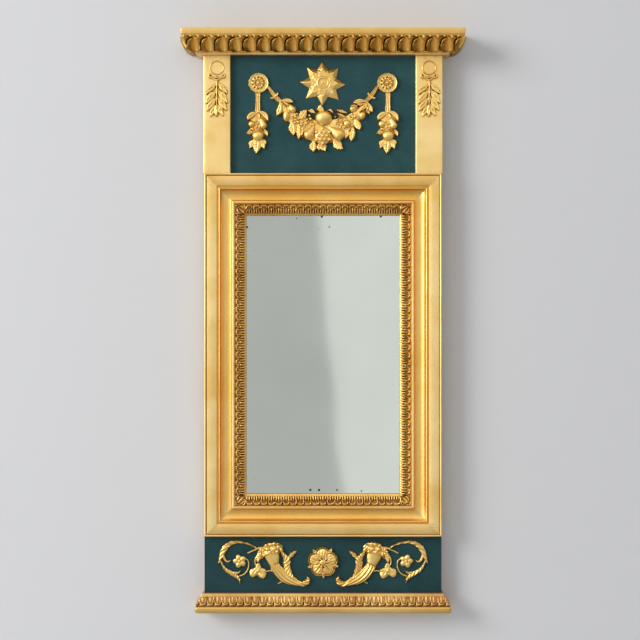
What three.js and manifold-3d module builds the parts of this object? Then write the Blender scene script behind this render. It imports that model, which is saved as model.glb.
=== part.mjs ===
// A small Empire-style trumeau mirror: a pine carcass with gilt mouldings, painted fields and glued castings.
// Millimetres, +Z up. The wall is the plane Y = 0 and the mirror faces -Y; its centre line is X = 0.
// The origin is the point on the wall where the hook goes in that carries the hanging loop turned up.
import * as THREE from "three";
import { mergeVertices } from "three/addons/utils/BufferGeometryUtils.js";
import Module from "manifold-3d";

const wasm = await Module();
wasm.setup();

// ---------------------------------------------------------------- driving dimensions

// Heights, from the top down.
const topBoardThickness = 10.5; // the plain gilt fillet that crowns the cornice
const corniceHeight = 28; // bed moulding and egg run
const upperFieldHeight = 188.5;
const frameHeight = 581;
const lowerFieldHeight = 91;
const baseHeight = 19.5; // leaf moulding above the plinth
const plinthThickness = 10.5;

// Widths.
const bodyWidth = 380; // across the frame and the lower field
const pilasterProud = 1.5; // how far the pilasters stand out at the sides
const pilasterWidth = 43.5;
const corniceOverhang = 35; // top board beyond the body, at the sides and the front
const plinthOverhang = 14.5;

// Depths, measured from the wall towards the viewer.
const carcassDepth = 18;
const panelThickness = 6;
const pilasterThickness = 14;
const corniceCoreDepth = 12.5; // pine bar between the carcass and the cornice mouldings
const baseCoreDepth = 11.5;

// Carcass.
const topRailHeight = 80;
const glassRailHeight = 66; // the rails above and below the glass
const footRailHeight = 42.5;

// Mirror frame moulding: widths are inwards from its outer edge, thicknesses in front of the carcass.
const frameMouldingWidth = 67;
const outerBeadWidth = 3.4;
const bandInner = 20.2; // the flat band's inner edge
const coveStart = 25.8;
const coveBottom = 36;
const ridgeOuter = 44; // outer edge of the raised ridge
const ridgeInner = 48.4;
const bandThickness = 18;
const outerBeadRise = 1.2; // the bead's crown in front of the band
const smallBeadDrop = 2.4; // the quirk beside the small bead, behind the band
const coveThickness = 8; // where the cove is thinnest
const ridgeThickness = 13.2;
const ledgeThickness = 3; // the ledge that carries the leaf run
const ledgeLap = 1; // how far the leaf run stands over the ledge's inner edge
const leafRunRise = 8.6; // the leaf run's crown in front of the ledge
const leafRunEdge = 2.6; // and its thickness at the glass

// Cornice and base mouldings: how far each stands out from the body.
const bedProjection = 10.5;
const eggRunProjection = 33;
const bedLip = 3; // height of the bed moulding that shows under the egg run
const eggPitchAim = 22.3; // the pitch is the nearest one that divides the front evenly
const eggPastCorner = 10.7; // the last egg's middle, past the corner of the body
const eggHalfWidth = 5.6;
const eggHalfLength = 11;
const eggRelief = 4.6; // half the egg's thickness, the middle of it near the ovolo's face

// Glass and what holds it.
const glassThickness = 3;
const glassOverlap = 9; // glass behind the moulding, on every side
const glassEdgeRoom = 8; // between the glass and the carcass
const blockLength = 60;
const blockOverGlass = 6;
const backboardThickness = 5;
const backboardInset = 1.5; // backboards lie this far inside the wall plane, which clears the nail heads
const nailRadius = 0.9;
const nailHeadRadius = 2.4;
const nailHeadThickness = 0.9;

// Hanger.
const hookBelowTop = 61; // the wall hook, below the top of the cornice
const wireRadius = 2;
const loopHalfWidth = 14; // to the middle of the wire
const loopArm = 6; // straight stretch between the bar and the bow
const hangerPlateWidth = 56;
const hangerPlateHeight = 18;
const hangerPlateThickness = 1.5;
const knuckleLength = 16;
const knuckleWall = 1.5;
const knuckleStandoff = 0.5; // between the knuckle's bore and the plate's face
const screwSpacing = 42;
const screwRadius = 1.8;
const screwHeadRadius = 3.6;
const screwHeadHeight = 1.4;
const screwLength = 7.5;

// Castings: height of relief and where each one sits.
const rosetteRadius = 16.9;
const rosetteSpacing = 206.4; // from middle to middle
const pendantSpacing = 208.6;
const starTipRadius = 37.5;
const starNotchRadius = 19.3;
const starToCornice = 5.9; // clear space between the star's highest point and the cornice
const starToFestoon = 4.5; // clear space between the star's lowest point and the festoon
const festoonApple = 15; // radius of the fruit in the festoon's middle
const leafDropBelowCornice = 20; // middle of the drop's ring under the cornice
const lowerRosetteRadius = 25.7;

// Clearances.
const glueLine = 0.1; // between faces that are glued or rest on each other
const mitreGap = 0.1; // between the two ends of a mitre
const holeClearance = 0.3; // around nails, screws and the loop's bar
const castingGap = 0.3; // between castings that meet

// ---------------------------------------------------------------- levels and planes

const topZ = hookBelowTop;
const corniceTopZ = topZ - topBoardThickness;
const upperFieldTopZ = corniceTopZ - corniceHeight;
const frameTopZ = upperFieldTopZ - upperFieldHeight;
const frameBottomZ = frameTopZ - frameHeight;
const lowerFieldBottomZ = frameBottomZ - lowerFieldHeight;
const plinthTopZ = lowerFieldBottomZ - baseHeight;
const bottomZ = plinthTopZ - plinthThickness;

const ornamentLineZ = upperFieldTopZ - starToCornice - starTipRadius; // middles of the star and rosettes

const halfBody = bodyWidth / 2;
const pilasterOuterX = halfBody + pilasterProud;
const pilasterInnerX = pilasterOuterX - pilasterWidth;
const panelFront = carcassDepth + panelThickness;
const pilasterFront = carcassDepth + pilasterThickness;
const corniceCoreFront = carcassDepth + corniceCoreDepth;
const baseCoreFront = carcassDepth + baseCoreDepth;

const halfSight = halfBody - frameMouldingWidth;
const halfGlass = halfSight + glassOverlap;
const stileInnerX = halfGlass + glassEdgeRoom;
const stileWidth = halfBody - stileInnerX;
const glassTopZ = frameTopZ - frameMouldingWidth + glassOverlap;
const glassBottomZ = frameBottomZ + frameMouldingWidth - glassOverlap;
const openingTopZ = glassTopZ + glassEdgeRoom;
const openingBottomZ = glassBottomZ - glassEdgeRoom;
const glassFront = carcassDepth - glueLine;
const glassBack = glassFront - glassThickness;
const backboardFront = backboardInset + backboardThickness;

const lapDepth = carcassDepth / 2;
const loopReach = loopArm + loopHalfWidth; // from the bar to the middle of the bow's wire
const barZ = wireRadius - loopReach; // so that the bow, turned up, rests on the hook at the origin
const plateBack = carcassDepth - lapDepth - glueLine; // the top rail is the front half only
const plateFace = plateBack - hangerPlateThickness;
const barToWall = plateFace - knuckleStandoff - holeClearance - wireRadius;

// ---------------------------------------------------------------- materials

const standard = (color, roughness, metalness) =>
  new THREE.MeshStandardMaterial({ color, roughness, metalness });
const gilding = standard("#dcb46a", 0.38, 0.85);
const castGilding = standard("#d6b067", 0.34, 0.85);
const teal = standard("#2d494d", 0.6, 0);
const pine = standard("#a9875a", 0.8, 0);
const silvering = standard("#b9bfb9", 0.06, 1);
const iron = standard("#4a4642", 0.6, 0.8);

// ---------------------------------------------------------------- tools

const part = new THREE.Group();

function add(parent, name, geometry, material) {
  const mesh = new THREE.Mesh(geometry, material);
  mesh.name = name;
  parent.add(mesh);
  return mesh;
}

// A board from its lowest to its highest corner: x across, h off the wall, z up.
function board(name, material, [x0, x1], [h0, h1], [z0, z1]) {
  const mesh = add(part, name, new THREE.BoxGeometry(x1 - x0, h1 - h0, z1 - z0), material);
  mesh.position.set((x0 + x1) / 2, -(h0 + h1) / 2, (z0 + z1) / 2);
  return mesh;
}

// A closed three.js geometry as a solid that can be joined and cut.
function solid(geometry) {
  const bare = geometry.clone();
  bare.deleteAttribute("normal");
  bare.deleteAttribute("uv");
  const merged = mergeVertices(bare, 1e-4);
  return new wasm.Manifold(
    new wasm.Mesh({
      numProp: 3,
      vertProperties: merged.getAttribute("position").array,
      triVerts: new Uint32Array(merged.getIndex().array),
    }),
  );
}

function geometryOf(manifold) {
  const { vertProperties, triVerts } = manifold.getMesh();
  const geometry = new THREE.BufferGeometry();
  geometry.setAttribute("position", new THREE.BufferAttribute(vertProperties, 3));
  geometry.setIndex(new THREE.BufferAttribute(triVerts, 1));
  return geometry;
}

const joined = (solids) => solids.reduce((all, next) => all.add(next));

// A flat outline of (a, b) pairs, extruded along its third axis.
function extruded(points, depth) {
  const shape = new THREE.Shape(points.map(([a, b]) => new THREE.Vector2(a, b)));
  return new THREE.ExtrudeGeometry(shape, { depth, bevelEnabled: false });
}

// Points on a quarter of an ellipse from one corner to the opposite one, bulging to the side given.
function quarter([a0, b0], [a1, b1], convex, steps = 6) {
  const points = [];
  for (let i = 0; i <= steps; i++) {
    const turn = (i / steps) * (Math.PI / 2);
    const along = convex ? Math.sin(turn) : 1 - Math.cos(turn);
    const across = convex ? 1 - Math.cos(turn) : Math.sin(turn);
    points.push([a0 + (a1 - a0) * along, b0 + (b1 - b0) * across]);
  }
  return points;
}

// A length of moulding. Its profile is (w, h) and the end faces are mitred: each point of the profile
// is moved along the length by its own w, times the mitre given for that end.
function mouldingGeometry(profile, length, startMitre, endMitre) {
  const geometry = extruded(profile, length);
  const position = geometry.getAttribute("position");
  for (let i = 0; i < position.count; i++) {
    const w = position.getX(i);
    const atEnd = position.getZ(i) > length / 2;
    const z = atEnd ? length - endMitre * w : startMitre * w;
    position.setZ(i, z);
  }
  return geometry;
}

// Places a moulding so that its w, h and length run along the given world axes from the given point.
function laid(mesh, wAxis, hAxis, [x, y, z]) {
  const w = new THREE.Vector3(...wAxis);
  const h = new THREE.Vector3(...hAxis);
  const along = new THREE.Vector3().crossVectors(w, h);
  mesh.applyMatrix4(new THREE.Matrix4().makeBasis(w, h, along).setPosition(x, y, z));
  return mesh;
}

// ---------------------------------------------------------------- carcass

// Rails lie over the front half of the stiles, which are notched for them.
const rails = [
  { name: "top_rail", top: corniceTopZ - glueLine, height: topRailHeight, fullDepth: false },
  { name: "middle_rail", top: openingTopZ + glassRailHeight, height: glassRailHeight, fullDepth: true },
  { name: "bottom_rail", top: openingBottomZ, height: glassRailHeight, fullDepth: true },
  { name: "foot_rail", top: plinthTopZ + footRailHeight, height: footRailHeight, fullDepth: true },
];

// The stile's outline from the side, (h, z), with a notch for each rail.
function stileOutline() {
  const top = corniceTopZ - glueLine;
  const bottom = plinthTopZ + glueLine;
  const notchBack = lapDepth - glueLine;
  const points = [[0, bottom], [0, top]];
  rails.forEach((rail) => {
    const from = Math.min(rail.top + glueLine, top);
    const to = Math.max(rail.top - rail.height - glueLine, bottom);
    if (from < top) points.push([carcassDepth, from]);
    points.push([notchBack, from], [notchBack, to]);
    if (to > bottom) points.push([carcassDepth, to]);
  });
  return points;
}

function carcass() {
  [["left_stile", -halfBody], ["right_stile", halfBody - stileWidth]].forEach(([name, x]) => {
    const mesh = add(part, name, extruded(stileOutline(), stileWidth), pine);
    // Outline (h, z) to (-Y, +Z), extruded towards -X from the stile's right edge.
    laid(mesh, [0, -1, 0], [0, 0, 1], [x + stileWidth, 0, 0]);
  });
  rails.forEach(({ name, top, height, fullDepth }) => {
    const shoulder = stileInnerX - glueLine;
    const end = halfBody;
    const back = fullDepth ? 0 : lapDepth;
    const bottom = Math.max(top - height, plinthTopZ + glueLine);
    const outline = fullDepth
      ? [[-end, lapDepth], [-shoulder, lapDepth], [-shoulder, back], [shoulder, back],
         [shoulder, lapDepth], [end, lapDepth], [end, carcassDepth], [-end, carcassDepth]]
      : [[-end, lapDepth], [end, lapDepth], [end, carcassDepth], [-end, carcassDepth]];
    // Outline (x, h) turned so that h points to the viewer and the extrusion points down.
    const mesh = add(part, name, extruded(outline, top - bottom), pine);
    laid(mesh, [1, 0, 0], [0, -1, 0], [0, 0, top]);
  });
}
carcass();

// Two holes in the top rail take the hanger's screws.
function drillTopRail() {
  const rail = part.getObjectByName("top_rail");
  rail.updateMatrixWorld(true);
  const world = rail.geometry.clone().applyMatrix4(rail.matrixWorld);
  const depth = screwLength + holeClearance;
  const holes = [-1, 1].map((side) => {
    const bore = screwRadius + holeClearance;
    const hole = new THREE.CylinderGeometry(bore, bore, depth, 12);
    const middle = plateBack + depth / 2 - hangerPlateThickness;
    hole.translate((side * screwSpacing) / 2, -middle, barZ);
    return solid(hole);
  });
  rail.geometry = geometryOf(holes.reduce((left, hole) => left.subtract(hole), solid(world)));
  rail.position.set(0, 0, 0);
  rail.quaternion.identity();
}
drillTopRail();

// ---------------------------------------------------------------- fields and pilasters

function fieldsAndPilasters() {
  const back = carcassDepth + glueLine;
  const panelHalf = pilasterInnerX - glueLine;
  board("upper_panel", teal, [-panelHalf, panelHalf], [back, panelFront],
    [frameTopZ + glueLine, upperFieldTopZ - glueLine]);
  board("lower_panel", teal, [-halfBody, halfBody], [back, panelFront],
    [lowerFieldBottomZ + glueLine, frameBottomZ - glueLine]);
  [["left_pilaster", -pilasterOuterX, -pilasterInnerX], ["right_pilaster", pilasterInnerX, pilasterOuterX]]
    .forEach(([name, x0, x1]) => {
      board(name, gilding, [x0, x1], [back, pilasterFront], [frameTopZ + glueLine, upperFieldTopZ - glueLine]);
    });
}
fieldsAndPilasters();

// ---------------------------------------------------------------- mirror frame and its leaf run

const frameBack = carcassDepth + glueLine;
const bandFront = carcassDepth + bandThickness;
const coveFront = carcassDepth + coveThickness;
const ridgeFront = carcassDepth + ridgeThickness;
const ledgeFront = carcassDepth + ledgeThickness;
const smallBeadMiddle = (bandInner + coveStart) / 2 + 1.2;

// From the outer edge inwards: bead, quirk, flat band, step, small bead, cove, ridge, ledge.
const frameProfile = [
  [0, frameBack], [0, bandFront - outerBeadRise / 2],
  [outerBeadWidth * 0.2, bandFront + outerBeadRise / 2], [outerBeadWidth / 2, bandFront + outerBeadRise],
  [outerBeadWidth * 0.85, bandFront + outerBeadRise / 2], [outerBeadWidth, bandFront - outerBeadRise / 2],
  [outerBeadWidth + 1, bandFront - outerBeadRise / 2], [outerBeadWidth + 1, bandFront],
  [bandInner, bandFront], [bandInner, bandFront - smallBeadDrop],
  [smallBeadMiddle - 1.3, bandFront - smallBeadDrop], [smallBeadMiddle - 0.8, bandFront - 0.6],
  [smallBeadMiddle, bandFront], [smallBeadMiddle + 1.1, bandFront - 0.6],
  ...quarter([coveStart, bandFront - 1.6], [coveBottom, coveFront], false, 5),
  ...quarter([coveBottom, coveFront], [ridgeOuter - 0.2, coveFront + 2.4], true, 3).slice(1),
  [ridgeOuter, ridgeFront - 0.6], [ridgeOuter + 0.6, ridgeFront],
  [ridgeInner - 0.6, ridgeFront], [ridgeInner, ridgeFront - 0.6],
  [ridgeInner, ledgeFront], [frameMouldingWidth - ledgeLap, ledgeFront],
  [frameMouldingWidth - ledgeLap, frameBack],
];

// An ovolo that falls from the ridge to the glass; its leaves are carved in its surface.
const leafRunCurve = quarter(
  [frameMouldingWidth, ledgeFront + leafRunEdge], [ridgeInner + 3, ledgeFront + leafRunRise], false, 5);
const leafRunProfile = [
  [ridgeInner + holeClearance, ledgeFront + glueLine],
  [ridgeInner + holeClearance, ledgeFront + leafRunRise - 1],
  ...leafRunCurve.reverse(),
  [frameMouldingWidth, ledgeFront + glueLine],
];

// The four sides, each with its w axis pointing inwards and its length along w x h.
function framedRun(names, profile, material) {
  const ends = { top: frameTopZ, bottom: frameBottomZ };
  const sides = [
    { name: names[0], w: [0, 0, -1], at: [halfBody, 0, ends.top], length: bodyWidth },
    { name: names[1], w: [0, 0, 1], at: [-halfBody, 0, ends.bottom], length: bodyWidth },
    { name: names[2], w: [1, 0, 0], at: [-halfBody, 0, ends.top], length: frameHeight },
    { name: names[3], w: [-1, 0, 0], at: [halfBody, 0, ends.bottom], length: frameHeight },
  ];
  sides.forEach(({ name, w, at, length }) => {
    const geometry = mouldingGeometry(profile, length - 2 * mitreGap, 1, 1);
    geometry.translate(0, 0, mitreGap);
    laid(add(part, name, geometry, material), w, [0, -1, 0], at);
  });
}
framedRun(["frame_top", "frame_bottom", "frame_left", "frame_right"], frameProfile, gilding);
framedRun(["leaf_run_top", "leaf_run_bottom", "leaf_run_left", "leaf_run_right"], leafRunProfile, castGilding);

// ---------------------------------------------------------------- glass, blocks, backboards and nails

board("mirror_glass", silvering, [-halfGlass, halfGlass], [glassBack, glassFront], [glassBottomZ, glassTopZ]);

const blockBack = backboardFront + glueLine;
const blockFront = glassBack - glueLine;
const quarterHeight = (openingTopZ - openingBottomZ) / 4;
const openingMiddleZ = (openingTopZ + openingBottomZ) / 2;

// Where a nail goes through a backboard into a side block.
const nails = [-1, 1].flatMap((side) =>
  [1, -1].map((level) => ({
    name: `backboard_nail_${side < 0 ? "left" : "right"}_${level > 0 ? "upper" : "lower"}`,
    x: side * (stileInnerX - glueLine - blockOverGlass),
    z: openingMiddleZ + level * quarterHeight,
  })),
);

const nailHole = (x, z) => {
  const bore = nailRadius + holeClearance;
  const hole = new THREE.CylinderGeometry(bore, bore, carcassDepth, 10);
  return solid(hole.translate(x, -carcassDepth / 2 + glassThickness, z));
};

function glazingBlocks() {
  const outer = stileInnerX - glueLine;
  const inner = halfGlass - blockOverGlass;
  const block = (name, [x0, x1], [z0, z1], nail) => {
    const box = new THREE.BoxGeometry(x1 - x0, blockFront - blockBack, z1 - z0);
    box.translate((x0 + x1) / 2, -(blockFront + blockBack) / 2, (z0 + z1) / 2);
    const geometry = nail ? geometryOf(solid(box).subtract(nailHole(nail.x, nail.z))) : box;
    add(part, name, geometry, pine);
  };
  nails.forEach((nail) => {
    const side = Math.sign(nail.x);
    const xs = [side * outer, side * inner].sort((a, b) => a - b);
    const name = nail.name.replace("backboard_nail", "glazing_block");
    block(name, xs, [nail.z - blockLength / 2, nail.z + blockLength / 2], nail);
  });
  const ends = [
    ["glazing_block_top", openingTopZ - glueLine, glassTopZ - blockOverGlass],
    ["glazing_block_bottom", openingBottomZ + glueLine, glassBottomZ + blockOverGlass],
  ];
  ends.forEach(([name, z0, z1]) => {
    block(name, [-blockLength / 2, blockLength / 2], [Math.min(z0, z1), Math.max(z0, z1)]);
  });
}
glazingBlocks();

function backboards() {
  const half = stileInnerX - holeClearance;
  const levels = [
    ["backboard_upper", openingMiddleZ + holeClearance / 2, openingTopZ - holeClearance],
    ["backboard_lower", openingBottomZ + holeClearance, openingMiddleZ - holeClearance / 2],
  ];
  levels.forEach(([name, z0, z1]) => {
    const box = new THREE.BoxGeometry(2 * half, backboardThickness, z1 - z0);
    box.translate(0, -(backboardInset + backboardThickness / 2), (z0 + z1) / 2);
    const holes = nails.filter(({ z }) => z > z0 && z < z1).map(({ x, z }) => nailHole(x, z));
    add(part, name, geometryOf(holes.reduce((left, hole) => left.subtract(hole), solid(box))), pine);
  });
}
backboards();

// A turned shank with a head on top, along +Z, its head's underside at z = 0.
function headedPin(radius, length, headRadius, headHeight, headTopRadius) {
  const profile = [[0, -length], [radius, -length], [radius, 0], [headRadius, 0],
    [headTopRadius, headHeight], [0, headHeight]];
  const lathe = new THREE.LatheGeometry(profile.map(([r, y]) => new THREE.Vector2(r, y)), 10);
  return lathe.rotateX(Math.PI / 2); // the shank along -Z, the head towards +Z
}

nails.forEach(({ name, x, z }) => {
  const length = backboardThickness + (blockFront - blockBack) / 2;
  const geometry = headedPin(nailRadius, length, nailHeadRadius, nailHeadThickness, nailHeadRadius * 0.8);
  const mesh = add(part, name, geometry, iron);
  // Its head lies on the backboard, inside the wall plane.
  mesh.rotation.x = -Math.PI / 2;
  mesh.position.set(x, -backboardInset + glueLine, z);
});

// ---------------------------------------------------------------- cornice and base

// Three lengths of one profile, (p, z): p stands out from the body, z up from the moulding's foot.
// The front one is mitred at both ends, and the returns run back to the wall.
function threeSided(names, profile, material, front, footZ, decorate) {
  const lengths = [
    { name: names[0], p: [0, -1, 0], at: [halfBody, -front, footZ], length: bodyWidth, mitres: [-1, -1] },
    { name: names[1], p: [-1, 0, 0], at: [-halfBody, -front, footZ], length: front, mitres: [-1, 0] },
    { name: names[2], p: [1, 0, 0], at: [halfBody, 0, footZ], length: front, mitres: [0, -1] },
  ];
  lengths.forEach(({ name, p, at, length, mitres }) => {
    const trim = mitres.map((mitre) => (mitre ? mitreGap : 0));
    const run = mouldingGeometry(profile, length - trim[0] - trim[1], ...mitres);
    run.translate(0, 0, trim[0]);
    const geometry = decorate ? decorate(run, length, mitres) : run;
    laid(add(part, name, geometry, material), p, [0, 0, 1], at);
  });
}

// Half-buried eggs at one pitch, centred on the front run; a return takes up the pitch past its mitre.
function withEggs(run, length, mitres) {
  const span = bodyWidth + 2 * eggPastCorner;
  const spaces = Math.round(span / eggPitchAim);
  const pitch = span / spaces;
  const isFront = mitres[0] && mitres[1];
  const count = isFront ? spaces + 1 : Math.floor((length + eggPastCorner - eggHalfWidth) / pitch) + 1;
  const first = mitres[0] ? -eggPastCorner : length + eggPastCorner;
  const step = mitres[0] ? pitch : -pitch;
  const eggs = [];
  for (let i = 0; i < count; i++) {
    const egg = new THREE.SphereGeometry(1, 7, 5);
    egg.scale(eggRelief, eggHalfLength, eggHalfWidth);
    egg.rotateZ(-eggLean);
    egg.translate(eggRunMiddle[0], eggRunMiddle[1], first + i * step);
    eggs.push(solid(egg));
  }
  return geometryOf(joined([solid(run), ...eggs]));
}

const cornice = ["front", "left_return", "right_return"];
const bedProfile = [[glueLine, 0], [bedProjection, 0], [bedProjection, corniceHeight - glueLine],
  [glueLine, corniceHeight - glueLine]];
// The egg run's face is an ovolo; the eggs lie along its chord, sunk a little into its middle.
const eggRunCurve = quarter([bedProjection + 2, bedLip], [eggRunProjection, corniceHeight - 2], true, 6);
const eggLean = Math.atan2(eggRunCurve[6][0] - eggRunCurve[0][0], eggRunCurve[6][1] - eggRunCurve[0][1]);
const eggRunMiddle = [eggRunCurve[3][0] - 1.2, eggRunCurve[3][1] + 1.2];
const eggRunProfile = [
  [bedProjection + glueLine, bedLip], ...eggRunCurve,
  [eggRunProjection, corniceHeight - glueLine], [bedProjection + glueLine, corniceHeight - glueLine],
];
threeSided(cornice.map((end) => `cornice_${end}`), bedProfile, gilding, corniceCoreFront, upperFieldTopZ);
threeSided(["egg_run_front", "egg_run_left", "egg_run_right"], eggRunProfile, castGilding,
  corniceCoreFront, upperFieldTopZ, withEggs);

// The base moulding: a fillet over a slope that flares to the plinth.
const baseFillet = 4.6;
const baseFilletProjection = 3.2;
const baseFlareProjection = plinthOverhang - 1.5;
const baseFlare = quarter(
  [baseFlareProjection, 1.6], [baseFilletProjection + 0.6, baseHeight - baseFillet], false, 5);
const baseProfile = [
  [glueLine, glueLine], [baseFlareProjection, glueLine], [baseFlareProjection, 1.6],
  ...baseFlare.slice(1),
  [baseFilletProjection, baseHeight - baseFillet], [baseFilletProjection, baseHeight], [glueLine, baseHeight],
];
threeSided(cornice.map((end) => `base_${end}`), baseProfile, castGilding, baseCoreFront, plinthTopZ);

function coresAndBoards() {
  const half = halfBody - glueLine;
  const back = carcassDepth + glueLine;
  board("cornice_core", pine, [-half, half], [back, corniceCoreFront],
    [upperFieldTopZ, corniceTopZ - glueLine]);
  board("base_core", pine, [-half, half], [back, baseCoreFront], [plinthTopZ + glueLine, lowerFieldBottomZ]);
  easedBoard("cornice_top_board", halfBody + corniceOverhang, corniceCoreFront + corniceOverhang,
    corniceTopZ, topBoardThickness, 1);
  easedBoard("plinth_board", halfBody + plinthOverhang, baseCoreFront + plinthOverhang,
    bottomZ, plinthThickness, 3.5);
}

// A board with eased edges at the front and the sides, and a square back against the wall.
function easedBoard(name, halfWidth, front, z0, thickness, ease) {
  const outline = [[ease - halfWidth, ease], [halfWidth - ease, ease],
    [halfWidth - ease, front - ease], [ease - halfWidth, front - ease]];
  const shape = new THREE.Shape(outline.map(([x, h]) => new THREE.Vector2(x, h)));
  const geometry = new THREE.ExtrudeGeometry(shape, {
    depth: thickness - 2 * ease, bevelThickness: ease, bevelSize: ease, bevelSegments: 3,
  });
  geometry.translate(0, 0, ease);
  const position = geometry.getAttribute("position");
  for (let i = 0; i < position.count; i++) {
    if (position.getY(i) < 1.001 * ease) position.setY(i, 0);
  }
  // Outline (x, h) faces the viewer with h along -Y, so the extrusion points down from the top.
  laid(add(part, name, geometry, gilding), [1, 0, 0], [0, -1, 0], [0, 0, z0 + thickness]);
}
coresAndBoards();

// ---------------------------------------------------------------- castings

// Castings are modelled flat, x across and y up, with their relief along +Z over a flat back.
function casting(name, solids, material, x, z, front) {
  const room = new THREE.BoxGeometry(4 * halfBody, 4 * halfBody, 60).translate(0, 0, 30);
  const mesh = add(part, name, geometryOf(joined(solids).intersect(solid(room))), material);
  mesh.rotation.x = Math.PI / 2;
  mesh.position.set(x, -(front + glueLine), z);
  return mesh;
}

// A rounded lump: a fruit, a berry, a boss or a petal, turned in the plane of the panel.
function lump(x, y, halfWidth, halfLength, height, turn = 0, sides = 7) {
  const ball = new THREE.SphereGeometry(1, sides, 4).rotateX(Math.PI / 2);
  ball.scale(halfWidth, halfLength, height);
  ball.rotateZ(turn);
  return solid(ball.translate(x, y, 0));
}

// A half-round stroke along a smooth path through (x, y, width) points: a stem, strap, leaf or horn.
function stroke(points, height, steps = 6) {
  const path = new THREE.CatmullRomCurve3(points.map(([x, y, width]) => new THREE.Vector3(x, y, width)));
  const arc = 4;
  const stations = steps + 1;
  const vertices = [];
  for (let i = 0; i < stations; i++) {
    const at = path.getPoint(i / steps);
    const ahead = path.getPoint(Math.min(1, i / steps + 0.01));
    const behind = path.getPoint(Math.max(0, i / steps - 0.01));
    const tangent = new THREE.Vector2(ahead.x - behind.x, ahead.y - behind.y).normalize();
    const half = Math.max(at.z, 0.5) / 2;
    for (let k = 0; k <= arc; k++) {
      const turn = (k / arc) * Math.PI;
      const across = half * Math.cos(turn);
      const rise = (height * Math.min(1, half / 2) + 0.4) * Math.sin(turn);
      vertices.push(at.x + tangent.y * across, at.y - tangent.x * across, rise);
    }
  }
  const ring = arc + 1;
  const index = [];
  for (let i = 0; i < stations - 1; i++) {
    for (let k = 0; k < ring; k++) {
      const a = i * ring + k;
      const b = i * ring + ((k + 1) % ring);
      index.push(a, b + ring, b, a, a + ring, b + ring);
    }
  }
  const last = (stations - 1) * ring;
  for (let k = 1; k < ring - 1; k++) {
    index.push(0, k, k + 1, last, last + k + 1, last + k);
  }
  const geometry = new THREE.BufferGeometry();
  geometry.setAttribute("position", new THREE.Float32BufferAttribute(vertices, 3));
  geometry.setIndex(index);
  const made = solid(geometry);
  return made.translate(0, 0, -0.2);
}

// A pointed leaf from its stalk to its tip.
const leaf = (x0, y0, x1, y1, width, height = 3) =>
  stroke([[x0, y0, width * 0.4], [(x0 + x1) / 2, (y0 + y1) / 2, width], [x1, y1, 0.8]], height, 3);

const around = (count, make) => Array.from({ length: count }, (_, i) => make((i * 2 * Math.PI) / count, i));

const mirrored = (solids) => solids.flatMap((each) => [each, each.mirror([1, 0, 0])]);

function starCasting() {
  const points = 8;
  const cone = new THREE.ConeGeometry(1, 8, 2 * points).translate(0, 4, 0).rotateX(Math.PI / 2);
  const position = cone.getAttribute("position");
  for (let i = 0; i < position.count; i++) {
    const reach = Math.hypot(position.getX(i), position.getY(i));
    if (reach < 0.5) continue;
    const step = Math.round(Math.atan2(position.getY(i), position.getX(i)) / (Math.PI / points));
    const radius = step % 2 ? starNotchRadius : starTipRadius;
    position.setX(i, (position.getX(i) / reach) * radius);
    position.setY(i, (position.getY(i) / reach) * radius);
  }
  const ring = new THREE.TorusGeometry(9, 1.6, 6, 16).translate(0, 0, 6.2);
  const boss = lump(0, 0, 5.5, 5.5, 9);
  casting("star", [solid(cone), solid(ring), boss], castGilding, 0, ornamentLineZ, panelFront);
}
starCasting();

function rosette(radius, petals, height) {
  const disc = new THREE.LatheGeometry(
    [[0, 0], [radius, 0], [radius, height * 0.5], [radius * 0.8, height * 0.7], [radius * 0.3, height * 0.5],
     [0, height * 0.5]].map(([r, y]) => new THREE.Vector2(r, y)), 2 * petals).rotateX(Math.PI / 2);
  const reach = 0.62 * radius;
  const petal = (turn) =>
    lump(reach * Math.cos(turn), reach * Math.sin(turn), 0.3 * radius, 0.2 * radius, height, turn, 6);
  return [solid(disc), ...around(petals, petal), lump(0, 0, 0.2 * radius, 0.2 * radius, height * 1.15)];
}
[["left_rosette", -1], ["right_rosette", 1]].forEach(([name, side]) => {
  casting(name, rosette(rosetteRadius, 8, 6), castGilding, (side * rosetteSpacing) / 2,
    ornamentLineZ, panelFront);
});
casting("lower_rosette", rosette(lowerRosetteRadius, 8, 9), castGilding, 0,
  (frameBottomZ + lowerFieldBottomZ) / 2 + 2.4, panelFront);

// A strap with a bunch of fruit and leaves at its foot. Its top meets the rosette.
function pendant() {
  const top = -(rosetteRadius + castingGap + 0.4);
  return [
    stroke([[0, top, 5.6], [0, -32, 6], [0, -48, 9.6], [0, -62, 16]], 3.4),
    stroke([[0, -56, 14], [0, -75, 24], [0, -92, 18]], 3.4, 4),
    leaf(-3, -48, -18, -58, 9), leaf(3, -48, 15.5, -58.5, 9),
    lump(-11.4, -65, 5.8, 5.8, 6), lump(7.9, -67, 7.2, 10, 8, -0.2),
    lump(0, -84.6, 10, 10, 9.5),
    leaf(-6, -76, -19, -80.5, 8), leaf(6, -76, 14, -84, 8),
    leaf(0, -90, -13, -103, 11), leaf(0, -90, 12, -103, 11), leaf(0, -90, -1, -113.4, 13),
  ];
}
[["left_pendant", -1], ["right_pendant", 1]].forEach(([name, side]) => {
  casting(name, pendant(), castGilding, (side * pendantSpacing) / 2, ornamentLineZ, panelFront);
});

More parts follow.
